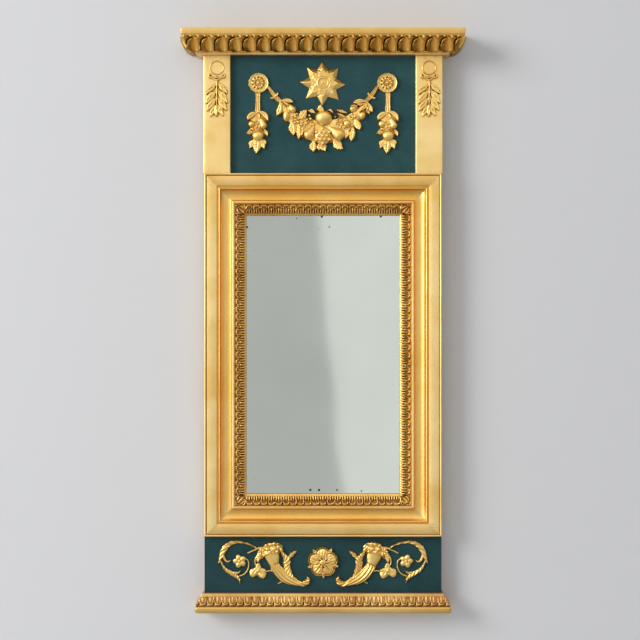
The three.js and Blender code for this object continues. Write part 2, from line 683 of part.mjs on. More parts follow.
// The festoon between the rosettes: straps, a swelling band of fruit, and leaves at its edges.
function garland() {
  const start = rosetteSpacing / 2 - (rosetteRadius + castingGap + 0.6) * 0.93;
  const half = [
    stroke([[start, -(rosetteRadius + 1) * 0.42, 5], [78, -18.3, 6], [68, -31, 8], [58, -48, 15],
      [38, -68, 22], [16, -82, 28], [-1, -86, 28]], 4.5, 10),
    leaf(66, -34, 74.5, -52, 8), leaf(64, -32, 47, -29, 8), leaf(46, -44, 28, -50, 10),
    leaf(44, -68, 47.5, -84, 10), leaf(36, -74, 38, -90, 9), leaf(16, -90, 24, -108, 13),
    lump(60, -52, 7, 10, 9, -0.3), lump(48.4, -40, 8, 8, 8), lump(38, -64, 8, 8, 8),
    lump(24, -80, 11, 13, 11, 0.3), lump(27, -58, 4, 4, 6),
  ];
  const appleY = -(starTipRadius + starToFestoon + festoonApple);
  const apple = lump(1, appleY, festoonApple, festoonApple, 13.5);
  return [...mirrored(half), apple, lump(0, -85, 13, 15.5, 9.5), leaf(0, -94, 0, -110, 12)];
}
casting("garland", garland(), castGilding, 0, ornamentLineZ, panelFront);

// A hoop, a scrolled collar and a hanging spray of leaves, one on each pilaster.
function leafDrop() {
  const hoop = solid(new THREE.TorusGeometry(10.6, 1.3, 6, 20));
  const pairs = [[-24, -37, 17], [-36, -50, 17.5], [-48, -64, 15]];
  return [
    hoop, lump(-8.5, -13.5, 3, 2.4, 3), lump(8.5, -13.5, 3, 2.4, 3),
    lump(0, -13, 7, 3.4, 3.2), lump(0, -18, 4.4, 3, 4),
    stroke([[0, -16, 5], [0, -45, 4.6], [0, -70, 6], [0, -81, 1.5]], 4),
    ...pairs.flatMap(([y0, y1, reach]) => [-1, 1].map((side) => leaf(0, y0, side * reach, y1, 10, 3.2))),
    leaf(0, -60, -7, -79, 8), leaf(0, -60, 7, -79, 8),
  ];
}
[["left_leaf_drop", -1], ["right_leaf_drop", 1]].forEach(([name, side]) => {
  const x = (side * (pilasterInnerX + pilasterOuterX)) / 2;
  casting(name, leafDrop(), castGilding, x, upperFieldTopZ - leafDropBelowCornice, pilasterFront);
});

// A horn of plenty with its scrolling stem, drawn for the left side, from the middle of the field.
function hornOfPlenty() {
  return [
    stroke([[-96, 21, 4], [-108.4, 23.7, 3.4], [-122.6, 31.7, 3.6], [-132.7, 33.3, 4], [-145, 31.7, 6],
      [-156.4, 25.9, 8], [-162.7, 17.5, 7.5], [-164.3, 8.4, 6], [-168.3, 0, 1]], 3.4, 12),
    stroke([[-161, 14, 5], [-158.2, 7.2, 4.4], [-152.5, 2.7, 3], [-147.4, 5.6, 1]], 2.6, 5),
    stroke([[-164, 6, 4], [-159.3, -6.3, 4], [-154.8, -11.7, 6], [-145, -16.4, 7.5], [-135.5, -19.1, 6],
      [-133.9, -30.6, 1]], 3.2, 8),
    leaf(-143, -16, -131, -12, 4, 2.4),
    stroke([[-140, -18, 3.4], [-126.5, -16.4, 2.8], [-121.5, -10.1, 2.6], [-120.4, -2.3, 2.6],
      [-124, 3, 3], [-130, 3.6, 3]], 2.6, 8),
    ...around(5, (turn) => lump(-134.4 + 6 * Math.cos(turn), 2.7 + 6 * Math.sin(turn), 5, 5, 4)),
    lump(-134.4, 2.7, 3.6, 3.6, 6),
    leaf(-106, 23, -122, 17.5, 5, 2.4),
    lump(-99, 19, 5, 5, 5), lump(-92, 25, 6.5, 6.5, 6.5), lump(-81, 28, 7, 7, 7), lump(-70, 23, 7, 7, 7),
    lump(-82, 18, 10, 8, 8),
    stroke([[-86, 19, 25], [-83.5, 11, 25], [-78, -1, 15], [-70.8, -14.2, 14], [-60.8, -26.2, 11],
      [-44, -33.5, 8], [-30.7, -35.4, 7], [-22, -29, 6], [-25, -23, 4]], 7, 12),
    stroke([[-54, -26, 9], [-57.4, -2, 8], [-58.1, 6, 8], [-64.7, 19, 5]], 4, 6),
    stroke([[-58, 3, 5], [-50.7, 12.6, 5], [-42.8, 20, 3]], 3, 4),
    stroke([[-102, 18, 3], [-105, 8, 3], [-108.8, -2, 3], [-105, -12, 5]], 3, 5),
    leaf(-107, -4, -93, -10, 12, 3), leaf(-107, -4, -115, -18, 12, 3), leaf(-107, -4, -99, -23, 14, 3),
    stroke([[-98, -12, 2.6], [-90.7, -14.8, 2.4], [-82.7, -12.9, 2.4], [-72, -17, 3]], 2.4, 5),
    leaf(-60, -27, -72, -33, 4, 2.4),
  ];
}
const lowerMiddleZ = (frameBottomZ + lowerFieldBottomZ) / 2;
casting("left_horn_of_plenty", hornOfPlenty(), castGilding, 0, lowerMiddleZ, panelFront);
casting("right_horn_of_plenty", hornOfPlenty().map((each) => each.mirror([1, 0, 0])), castGilding,
  0, lowerMiddleZ, panelFront);

// ---------------------------------------------------------------- hanger

// A plate with a rolled knuckle in which the loop's straight bar turns.
function hangerPlate() {
  const plate = new THREE.BoxGeometry(hangerPlateWidth, hangerPlateThickness, hangerPlateHeight);
  plate.translate(0, -(plateBack + plateFace) / 2, barZ);
  const boreRadius = wireRadius + holeClearance;
  const barrel = (radius, length) => {
    const cylinder = new THREE.CylinderGeometry(radius, radius, length, 16).rotateZ(Math.PI / 2);
    return solid(cylinder.translate(0, -barToWall, barZ));
  };
  const screwHole = (side) =>
    solid(new THREE.CylinderGeometry(screwRadius + holeClearance, screwRadius + holeClearance, 10, 12)
      .translate((side * screwSpacing) / 2, -(plateBack + plateFace) / 2, barZ));
  const body = solid(plate).add(barrel(boreRadius + knuckleWall, knuckleLength));
  return [-1, 1].reduce((left, side) => left.subtract(screwHole(side)),
    body.subtract(barrel(boreRadius, knuckleLength + 2)));
}
add(part, "hanger_plate", geometryOf(hangerPlate()), iron);

// The loop hangs down at rest: a straight bar, two arms and a half-round bow.
function hangerLoop() {
  const path = new THREE.CurvePath();
  const corner = new THREE.Vector3(loopHalfWidth, -barToWall, barZ);
  const bowStart = new THREE.Vector3(loopHalfWidth, -barToWall, barZ - loopArm);
  path.add(new THREE.LineCurve3(corner, bowStart));
  const steps = 12;
  let from = bowStart;
  for (let i = 1; i <= steps; i++) {
    const turn = (i / steps) * Math.PI;
    const to = new THREE.Vector3(loopHalfWidth * Math.cos(turn), -barToWall,
      bowStart.z - loopHalfWidth * Math.sin(turn));
    path.add(new THREE.LineCurve3(from, to));
    from = to;
  }
  path.add(new THREE.LineCurve3(from, new THREE.Vector3(-loopHalfWidth, -barToWall, barZ)));
  const points = [corner, ...path.curves.map((curve) => curve.v2)];
  const section = new THREE.Shape().absarc(0, 0, wireRadius, 0, 2 * Math.PI);
  const smooth = new THREE.CatmullRomCurve3(points, false, "centripetal");
  const bow = new THREE.ExtrudeGeometry(section, { steps: 18, extrudePath: smooth, curveSegments: 5 });
  const barLength = 2 * loopHalfWidth + wireRadius;
  const bar = new THREE.CylinderGeometry(wireRadius, wireRadius, barLength, 12).rotateZ(Math.PI / 2);
  return solid(bow).add(solid(bar.translate(0, -barToWall, barZ)));
}
add(part, "hanger_loop", geometryOf(hangerLoop()), iron);

[["hanger_screw_left", -1], ["hanger_screw_right", 1]].forEach(([name, side]) => {
  const geometry = headedPin(screwRadius, screwLength, screwHeadRadius, screwHeadHeight, screwHeadRadius * 0.7);
  const mesh = add(part, name, geometry, iron);
  mesh.rotation.x = -Math.PI / 2;
  mesh.position.set((side * screwSpacing) / 2, -plateFace + glueLine, barZ);
});

export default part;
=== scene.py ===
# %% [markdown]
# # A gilt trumeau mirror in the Empire manner
# A trumeau mirror is a tall wall mirror with a painted field over the glass. This one has a cornice with
# eggs and darts, two gilt pilasters, a moulded frame round an old plate of glass, and relief castings glued
# to dark teal fields. The CAD model holds every piece at its real size. This script loads it, keeps the
# boards that are right as they are, and puts carved and cast detail where the solids are plain.

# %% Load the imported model
import math

import bmesh
import bpy
import numpy as np
from mathutils import Matrix, Vector, noise


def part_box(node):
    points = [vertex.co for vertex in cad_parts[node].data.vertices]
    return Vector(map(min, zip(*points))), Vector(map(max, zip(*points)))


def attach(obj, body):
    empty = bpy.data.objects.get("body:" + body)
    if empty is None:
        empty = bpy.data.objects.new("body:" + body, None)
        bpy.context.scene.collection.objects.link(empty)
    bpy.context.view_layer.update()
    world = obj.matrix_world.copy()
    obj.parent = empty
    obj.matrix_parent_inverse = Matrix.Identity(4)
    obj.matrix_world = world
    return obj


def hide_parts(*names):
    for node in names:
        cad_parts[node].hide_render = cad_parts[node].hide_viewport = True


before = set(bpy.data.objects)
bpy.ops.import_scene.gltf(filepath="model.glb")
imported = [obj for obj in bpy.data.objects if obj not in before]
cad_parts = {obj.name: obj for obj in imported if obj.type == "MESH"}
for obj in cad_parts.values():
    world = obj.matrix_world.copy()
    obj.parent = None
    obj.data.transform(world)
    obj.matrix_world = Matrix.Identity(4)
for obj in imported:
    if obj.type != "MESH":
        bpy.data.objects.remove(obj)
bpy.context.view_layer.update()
scene = bpy.context.scene

# %% [markdown]
# ## Units and the way pieces are made
# Every piece is modelled in millimetres, in the frame in which a maker would lay it out on the bench, and
# only at the end it is scaled to metres and stood in its place. A finished piece is one closed mesh. Its
# doubles are merged and its faces turned outwards before it leaves the bench.

# %% From the bench to the wall
MM = 0.001


def finish_piece(name, bench, material, stands_for, body="mirror", smooth=50):
    """Turns a bench mesh in metres into a named piece that rides on a body and stands for CAD nodes."""
    bmesh.ops.remove_doubles(bench, verts=bench.verts, dist=1e-6)
    bmesh.ops.recalc_face_normals(bench, faces=bench.faces)
    mesh = bpy.data.meshes.new(name)
    bench.to_mesh(mesh)
    bench.free()
    mesh.materials.append(material)
    mesh.shade_smooth()
    mesh.set_sharp_from_angle(angle=math.radians(smooth))
    piece = bpy.data.objects.new(name, mesh)
    scene.collection.objects.link(piece)
    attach(piece, body)
    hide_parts(*stands_for)
    print(f"{name}: {len(mesh.polygons)} faces")


def whole(bench):
    """All of a bench mesh, for the operators that cut it."""
    return bench.verts[:] + bench.edges[:] + bench.faces[:]


def axes(x, y, z, origin=(0, 0, 0)):
    """The matrix that lays bench axes along three world axes at an origin, all in millimetres."""
    turn = Matrix((x, y, z)).transposed().to_4x4()
    return Matrix.Scale(MM, 4) @ Matrix.Translation(origin) @ turn


print("one bench unit is", MM, "m")

# %% [markdown]
# ## Colours and nodes
# The colours are written as sRGB hex values, as a colour picker gives them. Shaders reckon in linear light,
# so one function turns a hex value into the linear colour that a socket wants. Another adds a node, sets it
# up and plugs in what feeds it: a number, a hex colour, an output, or a node, which stands for its first
# output. The patterns are noise in object coordinates, so they stay on the piece when it moves.

# %% Colour and node helpers
BLEND, TINT = {"data_type": "RGBA"}, {"data_type": "RGBA", "blend_type": "MULTIPLY"}
PLUS, MINUS, TIMES, OVER = ({"operation": name} for name in ("ADD", "SUBTRACT", "MULTIPLY", "DIVIDE"))
HIGHER, ABOVE, BELOW, SIZE = ({"operation": name} for name in ("MAXIMUM", "GREATER_THAN", "LESS_THAN", "ABSOLUTE"))


def linear(hex_colour):
    channels = [int(hex_colour[i : i + 2], 16) / 255 for i in (1, 3, 5)]
    return tuple(c / 12.92 if c <= 0.04045 else ((c + 0.055) / 1.055) ** 2.4 for c in channels) + (1.0,)


def plug(tree, node, **inputs):
    """Fills a node's sockets, which go by their name or, after an underscore, by their number."""
    in_use = [socket for socket in node.inputs if socket.enabled]
    for key, value in inputs.items():
        socket = in_use[int(key[1:])] if key[0] == "_" else node.inputs[key.replace("_", " ")]
        if isinstance(value, bpy.types.Node):
            value = next(output for output in value.outputs if output.enabled)
        if isinstance(value, bpy.types.NodeSocket):
            tree.links.new(value, socket)
        else:
            socket.default_value = linear(value) if isinstance(value, str) else value


def add_node(tree, kind, settings=None, **inputs):
    """Adds a node with its settings, one of which may be the stops of a colour ramp, and fills its sockets."""
    node = tree.nodes.new("ShaderNode" + kind)
    for key, value in (settings or {}).items():
        if key != "stops":
            setattr(node, key, value)
            continue
        elements = node.color_ramp.elements
        while len(elements) < len(value):
            elements.new(0.5)
        for element, (position, colour) in zip(elements, value):
            element.position = position
            element.color = linear(colour) if isinstance(colour, str) else (colour, colour, colour, 1)
    plug(tree, node, **inputs)
    return node


def new_material(name):
    material = bpy.data.materials.new(name)
    material.use_nodes = True
    return material, material.node_tree, material.node_tree.nodes["Principled BSDF"]


def grain(tree, place, scale, detail=3.0, roughness=0.5, stretch=(1, 1, 1)):
    """A noise pattern with about one feature every 1/scale metres, drawn out by the inverse of stretch."""
    mapping = add_node(tree, "Mapping", Vector=place, Scale=stretch)
    return add_node(tree, "TexNoise", Vector=mapping, Scale=scale, Detail=detail, Roughness=roughness)


print("white is", linear("#ffffff"))

# %% [markdown]
# ## What nobody finished
# Gold and paint stop where no eye reaches: the faces that lie against the wall were left as bare pine. A
# shader can ask which way a surface faces and how far from the wall it is, and show wood there.

# %% Bare wood behind
PINE_RINGS = 90.0  # growth rings per metre across the grain, coarser than life so that they show
ALONG_X, ALONG_Z = (0.05, 1.0, 1.0), (1.0, 1.0, 0.05)


def bare_behind(tree, place, colour, reach):
    """Tells which faces look at the wall from within reach of it, and gives them the colour of wood."""
    normal = add_node(tree, "SeparateXYZ", Vector=add_node(tree, "NewGeometry").outputs["Normal"])
    faces_wall = add_node(tree, "Math", ABOVE, _0=normal.outputs["Y"], _1=0.5)
    depth = add_node(tree, "SeparateXYZ", Vector=place).outputs["Y"]
    near = add_node(tree, "Math", ABOVE, _0=depth, _1=-reach)
    behind = add_node(tree, "Math", TIMES, _0=faces_wall, _1=near)
    wood = add_node(tree, "ValToRGB", {"stops": [(0.34, "#6b4726"), (0.5, "#8f653a"), (0.66, "#a67c4d")]},
                    Fac=grain(tree, place, PINE_RINGS, 5, 0.6, ALONG_X))
    return behind, add_node(tree, "Mix", BLEND, _0=behind, _1=colour, _2=wood)


print("bare wood shows on faces that look at the wall")

# %% [markdown]
# ## Water gilding
# The gold is leaf a few ten-thousandths of a millimetre thick, laid over a red clay called bole and
# burnished with an agate. It shines like metal, but two centuries have rubbed the edges down to the bole
# and left brown dirt where no cloth reaches. So the shader is gold metal first. Pointiness finds the edges,
# ambient occlusion finds the hollows, and noise breaks both up so that no wear looks drawn. The hollows are
# painted a darker, browner gold, which is partly that dirt and partly painted shade. The carved runs also
# carry an attribute named hollow, which says how deep each point was cut; where it is deep the gold is
# darker still, again dirt and painted shade. The gesso under it all has fine cracks, drawn a little coarser
# than life so that they show.

# %% Gilding
BOLE, DEEP_CUT_DIRT_AND_SHADE = "#8f5330", "#5a360c"


def gilding(name, gold, cloudy, rough, dirt_and_shade, reach, amount, darkest, cracks, wear):
    material, tree, shader = new_material(name)
    place = add_node(tree, "TexCoord").outputs["Object"]
    fine = grain(tree, place, 420.0, 5, 0.65)
    clouds = add_node(tree, "ValToRGB", {"stops": [(0.36, 0.0), (0.68, 1.0)]}, Fac=grain(tree, place, 16.0, 4))
    leaf_tone = add_node(tree, "Mix", BLEND, _0=clouds, _1=gold, _2=cloudy)
    # Dirt and painted shade: darker where ambient occlusion finds a hollow, and where the carver cut deep.
    shade = add_node(tree, "AmbientOcclusion", {"samples": 8, "only_local": True}, Distance=reach).outputs["AO"]
    shaded = add_node(tree, "ValToRGB", {"stops": [(darkest, 1.0), (0.96, 0.0)]}, Fac=shade)
    shaded = add_node(tree, "Math", TIMES, _0=shaded, _1=amount)
    cut = add_node(tree, "Attribute", {"attribute_name": "hollow"}).outputs["Fac"]
    cut = add_node(tree, "ValToRGB", {"stops": [(0.25, 0.0), (1.0, 0.85)]}, Fac=cut)
    patchy = add_node(tree, "MapRange", Value=grain(tree, place, 190.0, 3), To_Min=0.5, To_Max=1.3)
    packed_dirt_and_shade = add_node(tree, "Math", TIMES, _0=cut, _1=patchy)
    most = add_node(tree, "Math", {**HIGHER, "use_clamp": True}, _0=shaded, _1=packed_dirt_and_shade)
    deep = add_node(tree, "Mix", BLEND, _0=packed_dirt_and_shade, _1=dirt_and_shade, _2=DEEP_CUT_DIRT_AND_SHADE)
    shaded_and_soiled = add_node(tree, "Mix", BLEND, _0=most, _1=leaf_tone, _2=deep)
    # Wear: on sharp edges, and in patches anywhere.
    point = add_node(tree, "NewGeometry").outputs["Pointiness"]
    rubbed = add_node(tree, "Math", TIMES,
                      _0=add_node(tree, "ValToRGB", {"stops": [(0.53, 0.0), (0.6, 1.0)]}, Fac=point),
                      _1=add_node(tree, "ValToRGB", {"stops": [(0.5, 0.0), (0.62, wear)]}, Fac=fine))
    patch = add_node(tree, "ValToRGB", {"stops": [(0.64, 0.0), (0.72, 1.0)]}, Fac=grain(tree, place, 70.0, 6, 0.7))
    patch = add_node(tree, "Math", TIMES, _0=patch, _1=wear * 0.5)
    bare = add_node(tree, "Math", HIGHER, _0=rubbed, _1=patch)
    worn = add_node(tree, "Mix", BLEND, _0=bare, _1=shaded_and_soiled, _2=BOLE)
    behind, colour = bare_behind(tree, place, worn, 0.002)
    metal = add_node(tree, "MapRange", Value=bare, To_Min=1.0, To_Max=0.35)
    metal = add_node(tree, "Math", {**MINUS, "use_clamp": True}, _0=metal, _1=behind)
    dull = add_node(tree, "MapRange", Value=fine, From_Min=0.3, From_Max=0.7, To_Min=rough - 0.05, To_Max=rough + 0.08)
    # Skin: the gesso's cracks, then the leaf's own unevenness.
    crack = add_node(tree, "TexVoronoi", {"feature": "DISTANCE_TO_EDGE"}, Vector=place, Scale=cracks)
    crack = add_node(tree, "ValToRGB", {"stops": [(0.0, 0.0), (0.04, 1.0)]}, Fac=crack)
    relief = add_node(tree, "Bump", Strength=0.2, Distance=0.0003, Height=crack)
    skin = add_node(tree, "Bump", Strength=0.25, Distance=0.0002, Height=fine, Normal=relief)
    plug(tree, shader, Base_Color=colour, Metallic=metal, Roughness=dull, Normal=skin)
    return material


print("gilding: gold, dirt, wear and cracks")

# %% [markdown]
# ## The gildings of this mirror
# First comes burnished leaf on flat gesso; then the same on the frame's top and bottom, painted darker as
# the shade that burnishing strokes give when they run across the light; and a darker, slightly rougher gold
# at the top and the foot. Then come composition castings, thick and thin, and the deep carved runs, the
# darkest in their hollows. In the hollows of a plain board gold throws its light on gold, which makes the
# colour deeper, so the dirt and painted shade in a board's hollows are orange, a painted reflection.

# %% Eight gildings
GILDINGS = {  # gold, gold in the clouds, roughness, colour of the dirt and painted shade in the hollows, its reach (m) and amount, darkest shade, cracks per m, wear
    # On the boards and the rails the hollow colour is orange: a painted reflection of gold on gold.
    "water_gilding_on_boards": ("#f8db9b", "#e9c376", 0.4, "#e0a22c", 0.025, 0.9, 0.72, 90.0, 0.35),
    # The rails' gold is darker than the boards': painted shade for burnishing strokes that run across the light.
    "water_gilding_on_rails_painted_darker": ("#eac684", "#dcb166", 0.4, "#dca034", 0.025, 0.9, 0.72, 90.0, 0.35),
    "water_gilding_on_edges": ("#dbb876", "#cda65e", 0.42, "#8a4c06", 0.025, 0.9, 0.5, 90.0, 0.35),
    "gilt_composition_castings": ("#edcb7e", "#e0b768", 0.34, "#80561c", 0.003, 0.5, 0.2, 150.0, 0.35),
    "gilt_thin_castings": ("#ebc87c", "#dcb466", 0.36, "#80480c", 0.0035, 1.0, 0.42, 150.0, 0.35),
    "gilt_carved_runs": ("#f0c87a", "#dfad64", 0.36, "#54320c", 0.003, 0.8, 0.25, 130.0, 0.5),
    "gilt_base_run": ("#dfba78", "#c8985c", 0.38, "#5e3410", 0.003, 1.0, 0.45, 130.0, 0.7),
    "gilt_egg_run": ("#f6cc72", "#e8b65a", 0.36, "#542e06", 0.0035, 0.9, 0.22, 130.0, 0.5),
}
(board_gilding, rail_gilding_painted_darker, edge_gilding, cast_gilding, thin_gilding, carved_gilding, base_gilding,
 egg_gilding) = (gilding(name, *values) for name, values in GILDINGS.items())
print("gildings:", ", ".join(GILDINGS))

# %% [markdown]
# ## Painted fields
# The fields are distemper over gesso: dark teal, quite matt, mottled where it was wiped, darker lower down.
# So noise mixes three teals, a few pale specks lie over them, and the height makes it darker towards the foot.

# %% Paint
def teal_paint():
    material, tree, shader = new_material("teal_distemper")
    place = add_node(tree, "TexCoord").outputs["Object"]
    colour = add_node(tree, "ValToRGB", {"stops": [(0.3, "#294b4f"), (0.55, "#2f5458"), (0.75, "#365c60")]},
                      Fac=grain(tree, place, 22.0, 6, 0.62))
    specks = add_node(tree, "ValToRGB", {"stops": [(0.74, 0.0), (0.78, 1.0)]}, Fac=grain(tree, place, 420.0, 2))
    colour = add_node(tree, "Mix", BLEND, _0=specks, _1=colour, _2="#6d7c72")
    # Darker towards the foot, in step with the height.
    level = add_node(tree, "MapRange", Value=add_node(tree, "SeparateXYZ", Vector=place).outputs["Z"],
                     From_Min=-0.85, From_Max=0.03)
    darker_downwards = add_node(tree, "ValToRGB", {"stops": [(0.1, "#dcdcdc"), (0.8, "#f4f4f4"), (1.0, "#ffffff")]}, Fac=level)
    colour = add_node(tree, "Mix", TINT, _0=1.0, _1=colour, _2=darker_downwards)
    _, colour = bare_behind(tree, place, colour, 0.05)
    relief = add_node(tree, "Bump", Strength=0.35, Distance=0.0004, Height=grain(tree, place, 300.0, 5, 0.6))
    plug(tree, shader, Base_Color=colour, Roughness=0.6, Specular_IOR_Level=0.12, Normal=relief)
    return material


teal = teal_paint()
print("made", teal.name)

# %% [markdown]
# ## Bare pine and forged iron
# The back is bare pine, brown with age, whose grain is noise stretched along the board. The hanger is forged
# iron with a brown bloom. Both are plain noise through a ramp of colours, with a bump from the same noise.

# %% Pine and iron
def old_pine(name, stretch):
    material, tree, shader = new_material(name)
    place = add_node(tree, "TexCoord").outputs["Object"]
    rings = grain(tree, place, PINE_RINGS, 5, 0.6, stretch)
    colour = add_node(tree, "ValToRGB", {"stops": [(0.34, "#6b4726"), (0.5, "#94693c"), (0.66, "#b08655")]}, Fac=rings)
    blotch = add_node(tree, "ValToRGB", {"stops": [(0.4, 0.0), (0.8, 0.55)]}, Fac=grain(tree, place, 9.0, 3))
    colour = add_node(tree, "Mix", BLEND, _0=blotch, _1=colour, _2="#6e5233")
    relief = add_node(tree, "Bump", Strength=0.4, Distance=0.0006, Height=rings)
    plug(tree, shader, Base_Color=colour, Roughness=0.78, Normal=relief)
    return material


def forged_iron():
    material, tree, shader = new_material("forged_iron")
    place = add_node(tree, "TexCoord").outputs["Object"]
    bloom = grain(tree, place, 500.0, 6, 0.7)
    colour = add_node(tree, "ValToRGB", {"stops": [(0.38, "#3a3634"), (0.6, "#4d453f"), (0.72, "#6a452c")]}, Fac=bloom)
    relief = add_node(tree, "Bump", Strength=0.5, Distance=0.0003, Height=bloom)
    plug(tree, shader, Base_Color=colour, Metallic=0.7, Roughness=0.55, Normal=relief)
    return material


pine_upright = old_pine("old_pine_upright", ALONG_Z)
pine_across = old_pine("old_pine_across", ALONG_X)
iron = forged_iron()
print("made", pine_upright.name, pine_across.name, iron.name)

# %% [markdown]
# ## Old glass
# The glass is mercury-tin silvering: a grey-green metal with slight waves, and dark specks where the tin has
# let go, most of them near the rim. The specks are the cells of a flat Voronoi pattern. Each cell has its own
# size, many have none, and noise makes their outlines ragged.

# %% Silvering
SIGHT_HALF_WIDTH, SIGHT_HALF_HEIGHT, SIGHT_MIDDLE = 0.124, 0.224, -0.4565  # of the glass that shows


def old_silvering():
    material, tree, shader = new_material("tin_mercury_silvering")
    place = add_node(tree, "TexCoord").outputs["Object"]
    split = add_node(tree, "SeparateXYZ", Vector=place)
    across = add_node(tree, "Math", OVER, _0=add_node(tree, "Math", SIZE, _0=split.outputs["X"]), _1=SIGHT_HALF_WIDTH)
    middle = add_node(tree, "Math", PLUS, _0=split.outputs["Z"], _1=-SIGHT_MIDDLE)
    up = add_node(tree, "Math", OVER, _0=add_node(tree, "Math", SIZE, _0=middle), _1=SIGHT_HALF_HEIGHT)
    near_rim = add_node(tree, "ValToRGB", {"stops": [(0.86, 0.12), (0.97, 1.0)]},
                        Fac=add_node(tree, "Math", HIGHER, _0=across, _1=up))
    spots = add_node(tree, "TexVoronoi", {"feature": "F1", "voronoi_dimensions": "2D"}, Scale=52.0,
                     Vector=add_node(tree, "CombineXYZ", X=split.outputs["X"], Y=split.outputs["Z"]))
    size = add_node(tree, "ValToRGB", {"stops": [(0.58, 0.0), (0.8, 1.0)]}, Fac=spots.outputs["Color"])
    reach = add_node(tree, "Math", TIMES, _0=add_node(tree, "Math", TIMES, _0=size, _1=0.1), _1=near_rim)
    ragged = add_node(tree, "MapRange", Value=grain(tree, place, 900.0, 3), To_Min=0.02, To_Max=-0.02)
    far = add_node(tree, "Math", PLUS, _0=spots, _1=ragged)
    speck = add_node(tree, "Math", BELOW, _0=far, _1=reach)
    haze = add_node(tree, "ValToRGB", {"stops": [(0.3, "#d2d8d1"), (0.7, "#dbe0d9")]}, Fac=grain(tree, place, 5.0, 3))
    colour = add_node(tree, "Mix", BLEND, _0=speck, _1=haze, _2="#3c3d38")
    waves = add_node(tree, "Bump", Strength=0.1, Distance=0.0008, Height=grain(tree, place, 7.0, 1))
    plug(tree, shader, Base_Color=colour, Metallic=1.0, Roughness=0.05, Normal=waves)
    return material


silvering = old_silvering()
print("made", silvering.name)

# %% [markdown]
# ## Boards that stay as the CAD has them
# Stiles, rails, cores, backboards and blocks are flat boards, so their CAD solids are kept and only given
# their wood. The grain runs along each board: upright in the stiles, across in the rails.

# %% Finish the boards
UPRIGHT = ("left_stile", "right_stile", "glazing_block_left_upper", "glazing_block_left_lower",
           "glazing_block_right_upper", "glazing_block_right_lower")
FINISHES = [(silvering, ("mirror_glass",)), (teal, ("upper_panel", "lower_panel")), (pine_upright, UPRIGHT)]
finish_of = {node: finish for finish, members in FINISHES for node in members}
for node, cad_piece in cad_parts.items():
    if node.startswith(("hanger", "backboard_nail")):
        finish = iron
    elif node.endswith(("_rail", "_core")) or node.startswith(("backboard", "glazing")):
        finish = finish_of.get(node, pine_across)
    else:
        finish = finish_of.get(node, board_gilding)
    cad_piece.data.materials.clear()
    cad_piece.data.materials.append(finish)
print("finished", len(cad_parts), "CAD pieces")

# %% [markdown]
# ## Levels
# Most of the levels and widths below are the ones the CAD was made from, each read from a CAD node's own
# corners, so that a piece made here stays on what carries it. The joint gap is given, and two levels of the
# lower castings are read off the photograph.

# %% Read the levels from the CAD
MITRE_GAP = 0.1  # half a joint: each side of the frame ends this far from the full corner
HALF_BODY = -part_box("frame_left")[0].x / MM
FRAME_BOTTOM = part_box("frame_left")[0].z / MM - MITRE_GAP
FRAME_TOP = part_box("frame_left")[1].z / MM + MITRE_GAP
PANEL_FRONT = -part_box("upper_panel")[0].y / MM
PILASTER_FRONT = -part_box("left_pilaster")[0].y / MM
UPPER_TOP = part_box("cornice_core")[0].z / MM
PLINTH_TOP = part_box("plinth_board")[1].z / MM
CORNICE_REF = -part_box("cornice_core")[0].y / MM
BASE_REF = -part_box("base_core")[0].y / MM
ORNAMENT_LINE = (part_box("star")[0].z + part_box("star")[1].z) / 2 / MM
PILASTER_MIDDLE = (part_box("right_pilaster")[0].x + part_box("right_pilaster")[1].x) / 2 / MM
LOWER_ROSETTE, LOWER_MIDDLE = -788.6, -790.8  # read off the photograph, a little above the CAD's
print("levels", [round(v, 2) for v in (HALF_BODY, FRAME_BOTTOM, FRAME_TOP, UPPER_TOP, PLINTH_TOP, ORNAMENT_LINE)])

# %% [markdown]
# ## How a carver's relief is made here
# Composition ornament is pressed in boxwood moulds, and a mould has no undercuts: over each point of the
# ground the relief has one height. So the ground is a fine grid, and each fruit, leaf or stem is a function
# that gives a height over the points near it. Where two of them meet the higher one wins, which leaves the
# crisp crease of a real cast. NumPy reckons all the points of a grid at once. The same relief is laid flat
# for the castings and wrapped round a moulding for the carved runs.

# %% The relief over a ground
STEEPEST = 4.5  # how steeply a lump rises from its outline, height per width


def polar(reach, turn):
    return reach * math.cos(turn), reach * math.sin(turn)


def bump(x, middle, width):
    """A soft ridge of height 1 across x."""
    return np.exp(-(((x - middle) / width) ** 2))


def smooth_line(points, steps=8):
    """A smooth line through (x, y, half width) points, the Catmull-Rom way."""
    p = np.array([points[0], *points, points[-1]], float)
    t = np.linspace(0, 1, steps, endpoint=False)[:, None]
    spans = [0.5 * (2 * b + (c - a) * t + (2 * a - 5 * b + 4 * c - d) * t**2 + (3 * b - a - 3 * c + d) * t**3)
             for a, b, c, d in zip(p, p[1:], p[2:], p[3:])]
    return np.vstack(spans + [p[-1:]])


